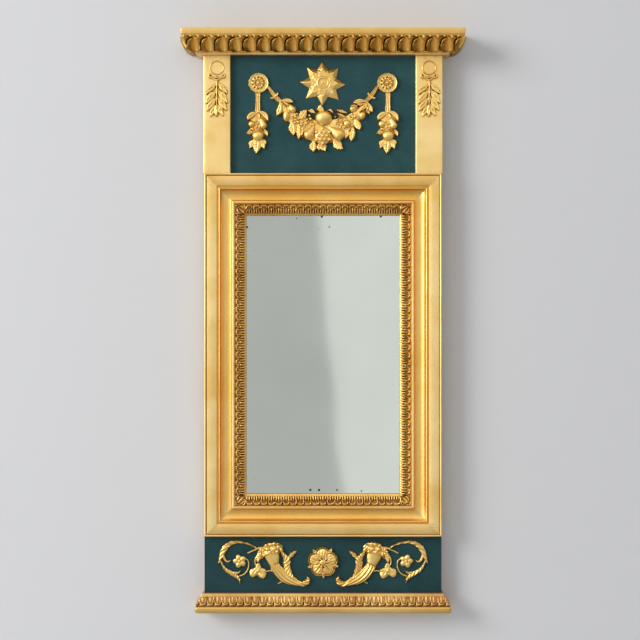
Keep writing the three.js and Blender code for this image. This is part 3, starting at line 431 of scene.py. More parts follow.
class Relief:
    """Heights h, in millimetres, over the points (x, y) of a ground."""

    def __init__(self, x, y, floor):
        self.x, self.y, self.h = x, y, np.full(len(x), float(floor))

    def raise_to(self, spot, height, inside):
        """Keeps the higher of the old and new heights; inside is the way in from the lump's outline."""
        self.h[spot] = np.maximum(self.h[spot], np.minimum(height, STEEPEST * inside))

    def lump(self, x, y, across, along, height, foot=0.0, turn=0.0):
        """A fruit, berry or boss: half an ellipsoid, lifted by foot."""
        reach = max(across, along) + 1
        spot = np.flatnonzero((abs(self.x - x) < reach) & (abs(self.y - y) < reach))
        dx, dy = self.x[spot] - x, self.y[spot] - y
        u = (dx * math.cos(turn) + dy * math.sin(turn)) / across
        v = (dy * math.cos(turn) - dx * math.sin(turn)) / along
        r = np.hypot(u, v)
        self.raise_to(spot, foot + height * np.sqrt(np.clip(1 - r**2, 0, 1)), (1 - r) * min(across, along))

    def ribbon(self, points, height, section, foot=0.0, tip=0.0, swell=0.0, lobes=(0, 0.0)):
        """A stem, leaf or horn along a smooth line. section(t, u) gives its shape from 0 to 1, t along and u
        across it; the foot rises by tip towards the end, and swell adds height in step with the width."""
        line = smooth_line(points)
        wide = line[:, 2].max() + 1
        low, high = line[:, :2].min(0) - wide, line[:, :2].max(0) + wide
        spot = np.flatnonzero((self.x > low[0]) & (self.x < high[0]) & (self.y > low[1]) & (self.y < high[1]))
        x, y = self.x[spot], self.y[spot]
        away, t, half, side = np.full(len(spot), 1e9), *(np.ones(len(spot)) for _ in range(3))
        for i, (a, b) in enumerate(zip(line, line[1:])):
            step = b[:2] - a[:2]
            s = np.clip(((x - a[0]) * step[0] + (y - a[1]) * step[1]) / max(step @ step, 1e-9), 0, 1)
            ex, ey = x - a[0] - s * step[0], y - a[1] - s * step[1]
            far = np.hypot(ex, ey)
            near = far < away
            away[near], t[near] = far[near], ((i + s) / (len(line) - 1))[near]
            half[near], side[near] = (a[2] + s * (b[2] - a[2]))[near], np.sign(step[0] * ey - step[1] * ex)[near]
        half = half * (1 - lobes[1] * (0.5 + 0.5 * np.cos(2 * np.pi * lobes[0] * t)) * np.sin(np.pi * t) ** 0.5)
        u = np.clip(away / half, 0, 1) * side
        shape = foot + tip * t + (height + swell * half) * section(t, u)
        self.raise_to(spot, shape, half - away)


# Sections. A stem is half round; a leaf is rounder and has a sunk vein; a strap has three reeds.
def stem(t, u):
    return np.sqrt(np.clip(1 - u * u, 0, 1))


def leaf(t, u):
    return stem(t, 0.9 * u) - 0.3 * bump(u, 0, 0.13) * np.sin(np.pi * np.clip(t * 0.9 + 0.1, 0, 1)) ** 0.5


def veined(t, u):
    return leaf(t, u) - 0.16 * (0.5 + 0.5 * np.cos(2 * np.pi * (6 * t - 0.8 * abs(u)))) * np.clip(abs(u) * 3, 0, 1)


def strap(t, u):
    return np.clip(1.15 - u**8, 0, 1) * (0.8 + 0.2 * np.cos(3 * np.pi * u))


def acanthus(t, u):
    """A rounded leaf whose edge folds break it into slanting ridges."""
    return stem(t, 0.85 * u) * (0.8 + 0.2 * np.cos(2 * np.pi * (8 * t + 0.7 * u)))


print("sections: stem, leaf, veined, strap, acanthus")

# %% [markdown]
# ## From the ground to a casting
# The grid is lifted to its relief, and its sharpest edges are rounded a little, as gesso and gold round them.
# Then it is cut through at the height of the panel. What lies below falls away, and the cut is the casting's
# outline, which is filled to give the flat back that was glued on.

# %% Blank and casting
GLUE_LINE = 0.1
UNDERGROUND = -3.0  # where a blank starts, well below the panel


def blank(left, right, bottom, top, cell=0.4):
    """A grid over a rectangle of the ground, and a relief of nothing over it."""
    bench = bmesh.new()
    bmesh.ops.create_grid(bench, x_segments=round((right - left) / cell),
                          y_segments=round((top - bottom) / cell), size=0.5)
    bmesh.ops.scale(bench, vec=(right - left, top - bottom, 1), verts=bench.verts)
    bmesh.ops.translate(bench, vec=((left + right) / 2, (bottom + top) / 2, 0), verts=bench.verts)
    ground = np.array([vert.co[:2] for vert in bench.verts])
    return bench, Relief(ground[:, 0], ground[:, 1], UNDERGROUND)


def cast(bench, relief, uneven=0.12):
    """Lifts a blank to its relief and cuts the casting free; uneven is how far its skin waves."""
    for vert, height in zip(bench.verts, relief.h):
        vert.co.z = height
        if height > 0:
            vert.co.z += uneven * (noise.noise(vert.co * 0.22) + 0.5 * noise.noise(vert.co * 0.9))
    bmesh.ops.smooth_vert(bench, verts=bench.verts, factor=0.3, use_axis_x=True, use_axis_y=True, use_axis_z=True)
    bmesh.ops.bisect_plane(bench, geom=whole(bench), dist=1e-4, plane_co=(0, 0, 0), plane_no=(0, 0, 1),
                           clear_inner=True)
    bmesh.ops.remove_doubles(bench, verts=[v for v in bench.verts if v.is_boundary], dist=0.05)
    bmesh.ops.triangle_fill(bench, edges=[e for e in bench.edges if e.is_boundary], use_beauty=True)
    return bench


def hang(name, bench, x, z, front, node, mirrored=False, gold=cast_gilding):
    """Stands a casting on its panel at (x, z), its back a glue line off the paint."""
    bench = bench.copy()
    if mirrored:
        bmesh.ops.scale(bench, vec=(-1, 1, 1), verts=bench.verts)
    matrix = axes((1, 0, 0), (0, 0, 1), (0, -1, 0), (x, -(front + GLUE_LINE), z))
    bmesh.ops.transform(bench, matrix=matrix, verts=bench.verts)
    finish_piece(name, bench, gold, (node,), smooth=70)


def hang_pair(kind, bench, x, z, front, gold=cast_gilding):
    """Hangs one casting on the left and again on the right, the same way round."""
    for side, place in (("left", -x), ("right", x)):
        hang(f"{side}_{kind}_casting", bench, place, z, front, f"{side}_{kind}", gold=gold)


print("a casting stands", GLUE_LINE, "mm off its panel")

# %% [markdown]
# ## The star
# Eight broad rays, each a ridge with two facets, lie under a smaller star whose points fall between them. In
# the middle is a dish with a raised lip. Every facet is a plane that rises from its own edge, so the distance
# in from that edge gives the height. The rays were never quite alike, so each keeps its own length.

# %% Star
RAYS = ((92, 35.4), (44, 35.2), (-4, 37.2), (-47, 37.6), (-92, 37.2), (-138, 37.8), (178, 37.4), (136, 36.4))
bench, star = blank(-39, 39, -39, 39, 0.5)
everywhere = np.arange(len(star.x))
radius = np.hypot(star.x, star.y)


def facets(angle, reach, base_along, base_across):
    """How far points lie inside a kite that starts at reach on a ray's line."""
    turn = math.radians(angle)
    along = star.x * math.cos(turn) + star.y * math.sin(turn)
    across = abs(star.y * math.cos(turn) - star.x * math.sin(turn))
    slope = math.atan2(base_across, reach - base_along)
    inside = (reach - along) * math.sin(slope) - across * math.cos(slope)
    return np.where(across < 0.48 * along, inside, -3.0)


for angle, reach in RAYS:
    inside = facets(angle, reach, 21.5, 9.2)
    star.raise_to(everywhere, np.minimum(1.0 + 0.75 * inside, 5.8), inside)
inner = np.max([facets(angle + 22.5, 22.8, 16.6, 6.9) for angle in range(0, 360, 45)], axis=0)
star.h -= 0.4 * bump(inner, 0, 1.2) * (star.h > 1)
star.raise_to(everywhere, np.minimum(4.0 + 0.34 * inner, 6.6), inner)
star.h -= 0.8 * bump(radius, 10.4, 0.8)
star.raise_to(everywhere, 6.2 + 1.7 * np.sqrt(np.clip(1 - ((radius - 8.7) / 1.5) ** 2, 0, 1)),
              1.5 - abs(radius - 8.7))
dish = radius < 7.4
star.h[dish] = 5.0 + 0.7 * bump(radius[dish], 0, 3)
hang("star_casting", cast(bench, star, 0.05), 0, ORNAMENT_LINE, PANEL_FRONT, "star")
bench.free()

# %% [markdown]
# ## The rosettes
# The two small rosettes that seem to hold the festoon are round shapes with a pattern that repeats round the
# middle: a smooth lip, a ring of worn buds, a daisy with an eye between each two petals, and a button. So
# their height is a function of radius and angle, and the buds are lumps of uneven size.

# %% Small rosettes
ROSETTES_AT = 103.2
bench, flower = blank(-18, 18, -18, 18, 0.33)
radius, angle = np.hypot(flower.x, flower.y), np.arctan2(flower.y, flower.x)
petals = 0.5 + 0.5 * np.cos(10 * angle + 0.3)
inside = 16.9 * (0.985 + 0.015 * np.cos(13 * angle)) - radius
profile = 3.4 + 0.9 * bump(radius, 15.2, 1.1) + 2.3 * bump(radius, 7.0, 2.6) * (0.3 + 0.7 * petals)
profile -= 1.5 * bump(radius, 9.6, 0.9) * (1 - petals) ** 2 + 0.5 * bump(radius, 4.1, 0.5)
flower.raise_to(np.arange(len(radius)), profile, inside)
for k in range(15):
    turn, size = 0.2 + k * 2 * math.pi / 15, 1.5 + 0.35 * math.sin(2.3 * k)
    flower.lump(*polar(12.6, turn), size, 1.3, 1.2 + 0.5 * math.sin(3.1 * k), 3.3, turn)
flower.lump(0, 0, 3.2, 3.2, 3.0, foot=3.6)
cast(bench, flower, 0.08)
hang_pair("rosette", bench, ROSETTES_AT, ORNAMENT_LINE, PANEL_FRONT, thin_gilding)
bench.free()

# %% [markdown]
# The rosette below the glass is fuller: five wide petals, a leaf tip between each two, a ring of small petals
# and a button. Each wide petal has a thin rolled rim, a groove within it and a pleated middle that bulges.

# %% Lower rosette
bench, flower = blank(-27, 27, -27, 27, 0.38)
everywhere = np.arange(len(flower.x))
radius = np.hypot(flower.x, flower.y)
flower.raise_to(everywhere, np.full(len(radius), 2.0), 21 - radius)
for k in range(5):
    turn = math.radians(92 + 72 * k)
    along = flower.x * math.cos(turn) + flower.y * math.sin(turn)
    across = flower.y * math.cos(turn) - flower.x * math.sin(turn)
    q = np.hypot((along - 13.8) / 10.9, across / 12.6)
    petal = 4.6 + 1.6 * bump(q, 0.9, 0.08) - 1.5 * bump(q, 0.765, 0.055)
    petal += 2.2 * np.sqrt(np.clip(1 - (q / 0.73) ** 2, 0, 1)) * (0.86 + 0.14 * np.cos(across * 1.35 + 0.25 * along))
    flower.raise_to(everywhere, petal - 0.8 * bump(across, 0.4, 0.6) * (q < 0.7), (1 - q) * 15)
    point = turn + math.radians(36)
    flower.ribbon([(*polar(r, point), w) for r, w in ((17, 3.4), (21.5, 3.3), (24.4, 2.2))],
                  4.2, leaf, foot=0.8)
for k in range(9):
    turn = math.radians(12 + 40 * k + 5 * math.sin(2 * k))
    flower.ribbon([(*polar(r, turn + s), w) for r, s, w in ((3.4, -0.3, 2.0), (8.0, 0, 3.3), (12.6, 0.2, 2.2))],
                  2.4, leaf, foot=5.6)
flower.lump(0, 0, 6.4, 5.8, 3.0, 5.8, 0.6)
for k in range(4):
    flower.lump(*polar(2.7, 1.6 * k), 1.9, 1.4, 1.2, 8.0, 1.6 * k)
hang("lower_rosette_casting", cast(bench, flower), 0, LOWER_ROSETTE, PANEL_FRONT, "lower_rosette")
bench.free()

# %% [markdown]
# ## The pendants
# Under each small rosette hangs a reeded strap with a bunch: two folded leaves, a pear, a small fruit,
# berries, an apple and a lobed leaf. Both pendants came out of one mould, so both are the same way round.
# Lumps and ribbons are pressed in from the lists below. A ribbon is a list of (x, y, half width) points.

# %% Pendants
PENDANTS_AT = 104.3
LEAVES = [  # points, height, foot, tip
    ([(-2.5, -48, 2), (-8.5, -50.5, 4.2), (-13.5, -54.5, 4.0), (-16.2, -58.6, 1.4)], 3.2, 1.6, 1.6),
    ([(2.2, -46.2, 2), (8, -48.8, 3.6), (13, -53.5, 3.6), (15.8, -60.4, 1.4)], 3.2, 2.0, 1.6),
    ([(1.8, -48.5, 1.2), (2.3, -53, 2.4), (3, -59, 1.2)], 2.6, 4.8, 1.0),
    ([(-10.5, -79, 2.6), (-14.4, -79.6, 3.2), (-18.2, -80.8, 0.8)], 3.0, 1.5, 0.8),
    ([(11, -75.5, 1.6), (13.6, -80, 2.8), (15, -85.4, 0.9)], 3.0, 1.5, 0.8),
    ([(-4, -93, 3), (-8.6, -97.5, 4.4), (-12.8, -104, 1.4)], 3.0, 1.2, 1.0),
    ([(3.5, -93, 3), (7.5, -98, 4.4), (10.2, -104.6, 1.4)], 3.0, 1.2, 1.0),
    ([(-5, -92.5, 2.4), (-11.5, -95.6, 2.8), (-13.8, -99, 1)], 2.6, 1.0, 1.0),
    ([(4.5, -92.5, 2.4), (10.5, -94.4, 3), (12.8, -97.4, 1)], 2.6, 1.0, 1.0),
    ([(-0.5, -91, 4), (-1.2, -99, 6.2), (-2, -106.5, 4.4), (-2.4, -113, 1.0)], 3.2, 1.6, 0.8),
]
FRUIT = [(-10.2, -66, 6.4, 6.3, 7.2, 0.3, 0), (-0.1, -84.9, 10.1, 9.3, 9.2, 0.3, 0),
         (-14.4, -57.4, 2.5, 1.5, 2.0, 3.4, 0.6)]
BERRIES = [(-7.6, -74.2, 2.4), (-2.0, -70.9, 2.3), (-12.4, -75.6, 2.2), (1.2, -73.2, 2.1), (-3.6, -61.5, 2.2),
           (10.4, -77.6, 1.9), (-0.6, -65.2, 2.1)]
bench, bunch = blank(-20, 19, -115, -16, 0.38)
bunch.ribbon([(0, -50, 8), (0, -60, 13), (0, -70, 13), (0, -84, 10.5), (0, -95, 8)], 3.0, stem)
bunch.ribbon([(0, -17.4, 4.4), (0, -30, 4.1), (-0.2, -41, 4.8), (-0.6, -49, 6.2)], 3.6, strap)
for points, height, foot, tip in LEAVES:
    fuller = [(x, y, half * 1.25) for x, y, half in points]
    bunch.ribbon(fuller, height, veined if points[0][1] < -90 else leaf, foot, tip)
for fruit in FRUIT:
    bunch.lump(*fruit)
for x, y, size in BERRIES:
    bunch.lump(x, y, size * 1.15, size * 1.15, size + 0.8, foot=2.8)
bunch.ribbon([(3.4, -55.5, 2.4), (5.8, -61, 4.8), (8.8, -68, 6.9)], 2.6, stem, swell=0.85)
bunch.ribbon([(2, -74.6, 1), (5.8, -74.8, 1.9), (9.4, -77.8, 1)], 2.4, leaf, foot=5.4)
bunch.ribbon([(-15.4, -63.8, 0.8), (-10.4, -67.4, 1.6), (-6.4, -63.4, 0.8)], 1.2, stem, foot=6.6)
cast(bench, bunch)
hang_pair("pendant", bench, PENDANTS_AT, ORNAMENT_LINE, PANEL_FRONT)
bench.free()

# %% [markdown]
# ## The festoon
# Two straps fall from the rosettes and swell into a heavy bunch: a big apple under the star, pears, smaller
# fruit, a blackberry, berries and many leaves. Its halves match in weight and not in detail, as in life, so
# each half has its own list. The blackberry is a packed field of beads over a dome.

# %% Festoon
STRAPS = [[(-88.4, -5.4, 2.6), (-82.6, -13.5, 3.3), (-77, -21, 3.9), (-72, -26.8, 3.6), (-66, -31.5, 3.0)],
          [(87.2, -5.4, 2.6), (82, -13.5, 3.3), (77, -20.5, 3.9), (72, -26, 3.6), (66, -30.5, 3.0)]]
UNDER = [[(-67, -34, 3), (-57, -46.5, 8), (-46, -58, 10), (-34, -67, 15), (-18, -75, 17), (0, -80, 19)],
         [(68, -33, 3), (60, -46, 8), (48, -57, 10), (36, -66, 14), (18, -75, 17), (0, -80, 19)]]
PEARS = [  # points, then how much the height follows the width
    ([(-56, -34.5, 2.6), (-52.5, -38, 4.8), (-48.9, -42.4, 6.8)], 0.85),
    ([(-14.8, -69, 3.0), (-18, -75.5, 6.8), (-22.7, -83, 9.7)], 0.78),
    ([(9.6, -70.6, 1.8), (15, -75, 5.8), (20.5, -79.5, 9.2), (25.0, -82.8, 10.9)], 0.78)]
FRUIT = [  # x, y, half across, half along, height, foot, turn
    (-58.8, -52.5, 6.4, 10.8, 8.4, 0.3, -0.08), (0.9, -56, 14.4, 13.2, 12.8, 0.4, 0),
    (38.6, -65.4, 7.1, 7.3, 8.8, 0.4, 0), (62.8, -52.2, 6.2, 8, 8.4, 0.4, -0.25),
    (48.9, -41.4, 6.8, 6.0, 5.4, 1.2, 0.4), (51.4, -53.8, 3.7, 3.7, 4.2, 3.4, 0),
    (-56.1, -33.7, 2.3, 2.3, 2.4, 5.2, 0), (51.4, -30.8, 3, 2, 2.4, 3.4, 0.3),
    (46.4, -49.4, 2.7, 2.7, 3, 3.2, 0)]
BERRIES = [
    (-48.2, -60.2, 2.5), (-44.2, -54.3, 2.9), (-39.8, -62.6, 3.1), (-43, -58.6, 2.3), (-48.3, -55, 2.2),
    (-38.5, -57.5, 2.4), (-44.6, -64, 2.3), (-41.5, -49.8, 2.4), (-20, -57.7, 3.0), (-26.6, -64.6, 3.2),
    (-31.8, -62.4, 2.2), (-14.8, -65.9, 2.7), (-25.4, -58.8, 2.4), (-22.6, -62.6, 2.2), (-33.5, -67.3, 2.4),
    (-29.3, -69.3, 2.3), (-19.5, -69.4, 2.2), (-21.6, -52.4, 2.6), (-17.4, -61.9, 2.2), (27, -54.6, 2.1),
    (24.2, -57.6, 2.1), (22.9, -61.9, 2.1), (26.8, -62.6, 2.1), (30.4, -59, 2.1), (25, -67.3, 2.1),
    (31.2, -66.6, 2.2), (34.6, -71.4, 2.2), (28.8, -70.8, 2.1), (20.8, -65.6, 2.1), (31, -63, 2.0),
    (19.6, -54.2, 2.0), (47.2, -57.2, 2.4), (43.6, -54, 2.2), (43.4, -74.6, 2.0), (45.6, -70.6, 2.0)]
LEAVES = [  # points, height, foot, tip, and the lobes of the leaves that have them
    ([(-68.5, -30.5, 1.5), (-68.3, -38, 3.6), (-70.5, -46, 4.4), (-74, -52.5, 1.2)], 3.2, 1.4, 1.4),
    ([(-67.5, -28.8, 1.6), (-60, -27.9, 3.2), (-53, -28.8, 3.4), (-47.5, -31, 1.0)], 2.6, 1.0, 1.8),
    ([(-64, -31, 1.2), (-59, -33.5, 2.4), (-53.5, -39, 1.2)], 2.4, 4.4, 1.0),
    ([(-60, -41, 0.8), (-57.5, -46, 2.2), (-53.5, -50.5, 0.9)], 1.6, 7.0, 0.2),
    ([(-49.2, -64.5, 3.5), (-48.6, -71, 6.8), (-47.6, -77.5, 5.6), (-47.2, -84.5, 0.9)], 2.8, 1.4, 1.4, (5, 0.16)),
    ([(-38, -68, 2.2), (-39, -77, 4.2), (-38.5, -84, 4.0), (-39.2, -90, 1.2)], 3.2, 1.6, 1.4, (4, 0.2)),
    ([(-32.6, -72.5, 1.2), (-33.6, -80, 2.2), (-35, -87.5, 0.9)], 3.4, 2.4, 1.0),
    ([(-26.5, -43.8, 1.6), (-30.5, -48.5, 6.0), (-33.6, -53.5, 6.2), (-36.8, -58.2, 1.4)], 2.8, 2.2, 2.2, (4, 0.18)),
    ([(-23, -44.6, 1.4), (-18, -45.2, 3.6), (-12, -48.8, 1.2)], 3.0, 2.4, 1.6),
    ([(-0.5, -44.5, 3), (-4.2, -39.6, 4.0), (-3.6, -35.0, 1.0)], 2.8, 0.8, 0.8),
    ([(-3, -44, 1.5), (-7.5, -42, 2.5), (-10.3, -41.2, 0.8)], 2.6, 0.8, 0.8),
    ([(7.5, -44.5, 1.2), (12, -44, 2.8), (16.8, -49.8, 1.0)], 2.8, 3.6, 0.6),
    ([(-14.5, -95, 3), (-15.8, -101, 6.2), (-15.5, -105.6, 5.0), (-15.2, -109.6, 1.6)], 3.0, 1.2, 1.4, (5, 0.14)),
    ([(-1, -97, 3), (0.5, -103, 5.6), (3.6, -109.4, 1.2)], 3.0, 1.2, 1.4),
    ([(-7, -99.5, 1.2), (-1, -101.5, 2.4), (4, -100.2, 1.2)], 3.0, 3.0, 0.4),
    ([(-6, -98, 2), (-7.5, -104, 2.6), (-4.5, -108, 1)], 3.0, 1.0, 1.2),
    ([(18, -92.5, 3), (22.5, -98, 7.0), (27, -102.5, 5.4), (32, -106.0, 1.0)], 3.0, 1.2, 1.6, (4, 0.12)),
    ([(38, -48, 1.4), (30, -45.6, 3.0), (21, -43.8, 1.0)], 2.8, 3.0, 0.8),
    ([(22.3, -49, 1.2), (30, -52.2, 2.6), (38.6, -56.6, 1.0)], 2.8, 4.2, 0.4),
    ([(43.2, -40.5, 1), (46.6, -36.8, 2.2), (52.4, -37.2, 2.3), (55.8, -41.6, 1.2)], 2.4, 4.6, 0.6),
    ([(43.8, -44.8, 1), (48.5, -41.8, 2.2), (53.6, -44.8, 1)], 2.4, 5.4, 0.2),
    ([(70.5, -33.5, 1.4), (67.5, -39.6, 2.7), (58.5, -46.5, 1.5)], 2.6, 4.8, 1.2),
    ([(71, -33, 1.2), (70.4, -41, 2.2), (69.6, -48, 1.4)], 2.8, 4.0, 0.6),
    ([(68.5, -29.2, 1.6), (60, -28.8, 3.5), (54, -30.4, 3.8), (49.2, -32, 1.6)], 2.8, 1.4, 1.6),
    ([(66, -32.5, 1.2), (59, -34.4, 2.4), (54, -35.6, 1.2)], 2.4, 4.0, 0.4),
    ([(71.2, -31.5, 1.6), (74.6, -38, 3.8), (77, -43.5, 3.4), (79.6, -46.6, 0.8)], 3.0, 1.2, 1.2),
    ([(70.5, -42, 1.5), (72.5, -47, 2.6), (75.6, -49.2, 0.8)], 2.8, 1.5, 0.6),
    ([(52.6, -59, 2.2), (55, -65.5, 5.4), (57.4, -71, 4.8), (58.6, -75, 1.4)], 2.8, 1.6, 1.4, (5, 0.12)),
    ([(48, -73.5, 2.6), (47.6, -80, 4.6), (46, -87, 4.6), (45.4, -92.4, 1.6)], 2.8, 1.2, 1.4, (5, 0.16)),
    ([(37, -73, 2), (39, -80, 4), (36, -88, 1.4)], 2.0, 0.8, 0.4),
    ([(-78, -22.5, 1.8), (-82, -24.4, 2.1), (-85, -23.4, 1.0)], 2.8, 1.0, 0.6),
    ([(-76, -21, 1.8), (-73.2, -18, 2.2), (-72.6, -15.0, 0.9)], 2.8, 1.0, 0.6),
    ([(78, -22, 1.8), (81.8, -24.4, 2.1), (84.8, -23.6, 1.0)], 2.8, 1.0, 0.6),
    ([(76, -20.5, 1.8), (73.0, -17.8, 2.2), (72.2, -15.0, 0.9)], 2.8, 1.0, 0.6)]
bench, festoon = blank(-90, 90, -112, -3, 0.42)
for points in UNDER:
    festoon.ribbon(points, 3.8, stem)
for points in STRAPS:
    festoon.ribbon(points, 3.4, strap)
for points, height, foot, tip, *lobes in LEAVES:
    fuller = [(x, y, half * 1.18) for x, y, half in points]
    festoon.ribbon(fuller, height, veined if lobes else leaf, foot + 0.5, tip, 0.0, *lobes)
for points, swell in PEARS:
    festoon.ribbon(points, 2.4, stem, swell=swell)
for fruit in FRUIT:
    festoon.lump(*fruit)
for x, y, size in BERRIES:
    festoon.lump(x, y, size * 1.15, size * 1.15, size + 0.9, foot=3.8)
BLACKBERRY, BEADS_APART, ROWS_APART = -85.2, 6.8, 5.9  # its height on the panel, then its beads
festoon.lump(0, BLACKBERRY, 14.0, 15.0, 6.4, foot=2.2)
for row in range(-3, 4):
    for column in range(-3, 4):
        x, y = (column + 0.5 * (row % 2)) * BEADS_APART, row * ROWS_APART
        reach = math.hypot(x / 12.0, y / 13.0)
        if reach < 1.06:
            foot = 3.2 + 4.4 * math.sqrt(max(0, 1.15 - reach**2))
            festoon.lump(x, BLACKBERRY + y, 4.1, 4.1, 3.2, foot)
hang("festoon_casting", cast(bench, festoon), 0, ORNAMENT_LINE, PANEL_FRONT, "garland")
bench.free()

# %% [markdown]
# ## The leaf drops
# Each pilaster carries a thin hoop, a pair of scrolls and a spray of drooping leaves. The leaves lie over
# each other like tiles: each tip stands higher than its root, so it throws a shadow on the next one.

# %% Leaf drops
HOOP_BELOW_TOP = 20
bench, spray = blank(-19, 19, -79, 13, 0.36)
radius = np.hypot(spray.x, spray.y)
spray.raise_to(np.arange(len(radius)), 1.8 * np.sqrt(np.clip(1 - ((radius - 10.6) / 1.25) ** 2, 0, 1)),
               1.25 - abs(radius - 10.6))
SCROLL = [(1.0, -21.0, 1.7), (3.8, -17.6, 2.0), (7.2, -15.6, 2.2), (10.6, -15.6, 2.2), (12.6, -13.4, 2.0),
          (11.8, -10.8, 1.8), (9.6, -11.4, 1.4)]
TILES = [((1.2, -60), (5.6, -68), (9.8, -76.4), 5.2, 1.6), ((1.6, -49), (8.6, -57.4), (15.4, -67.4), 6.0, 1.8),
         ((1.6, -37.5), (9.2, -45), (16.6, -55.8), 6.0, 1.8), ((1.4, -26), (8.4, -32), (16.4, -41.0), 5.0, 1.8)]
spray.ribbon([(0, -24, 3), (0, -32, 9), (0, -46, 14.0), (-0.2, -60, 14.0), (-0.4, -69, 11.0), (-0.6, -75, 4)], 1.5,
             veined, lobes=(7, 0.2))
for side in (-1, 1):
    spray.ribbon([(side * x, y, w) for x, y, w in SCROLL], 3.6, stem, foot=0.3)
    for root, middle, end, half, lift in TILES:
        slip = 0.5 * side
        spray.ribbon([(side * root[0], root[1] + slip, 2.0), (side * middle[0], middle[1] + slip, half),
                      (side * end[0], end[1] + slip, 0.36 * half)], 2.0, leaf, 0.5, lift)
        spray.ribbon([(side * (0.3 * root[0] + 0.7 * middle[0]), middle[1] + slip + 2.6, 0.8),
                      (side * (0.4 * middle[0] + 0.6 * end[0]), end[1] + slip + 7.4, 1.5),
                      (side * (end[0] + 0.9), end[1] + slip + 3.2, 0.6)], 1.4, stem, 2.4, 0.6)
spray.ribbon([(-0.4, -60, 1.8), (-0.8, -69, 3.8), (-0.8, -77.0, 1.6)], 2.6, leaf, 0.8, 1.0)
spray.ribbon([(0, -22, 1.9), (0, -42, 1.7), (-0.4, -60, 1.4), (-0.6, -68, 0.8)], 3.2, stem, foot=1.6)
for y, across, along, height in ((-15.4, 4.6, 2.2, 2.8), (-19.4, 5.2, 2.2, 4.2), (-23.2, 3.4, 1.8, 4.0)):
    spray.lump(0, y, across, along, height)
cast(bench, spray, 0.08)
hang_pair("leaf_drop", bench, PILASTER_MIDDLE, UPPER_TOP - HOOP_BELOW_TOP, PILASTER_FRONT, thin_gilding)
bench.free()

# %% [markdown]
# ## The horns of plenty
# In the lower field a pair of horns faces a rosette. Each horn has a plain bell, a band and a twisted,
# grooved body that ends in a curl. Fruit and flowers spill from its mouth, a vine leaf hangs from it, and an
# acanthus scroll runs out to a small flower. The right horn is the left one's mirror image.

# %% Horns of plenty
def horn_body(t, u):
    """Plain as far as the band, grooved with a slow twist as far as the leafy tail."""
    round_part = np.sqrt(np.clip(1 - (0.92 * u) ** 2, 0, 1))
    grooves = 0.5 + 0.5 * np.cos(2 * np.pi * (5.2 * np.arcsin(u) / np.pi + 2.6 * t))
    grooved = np.clip((t - 0.24) / 0.02, 0, 1) * np.clip((0.72 - t) / 0.08, 0, 1)
    folds = 0.5 + 0.5 * np.cos(2 * np.pi * (11 * t + 0.8 * u))
    tail = np.clip((t - 0.66) / 0.08, 0, 1) * np.clip((0.93 - t) / 0.05, 0, 1)
    return round_part * (1 - 0.26 * grooved * grooves - 0.34 * tail * folds) - 0.4 * bump(t, 0.235, 0.011)


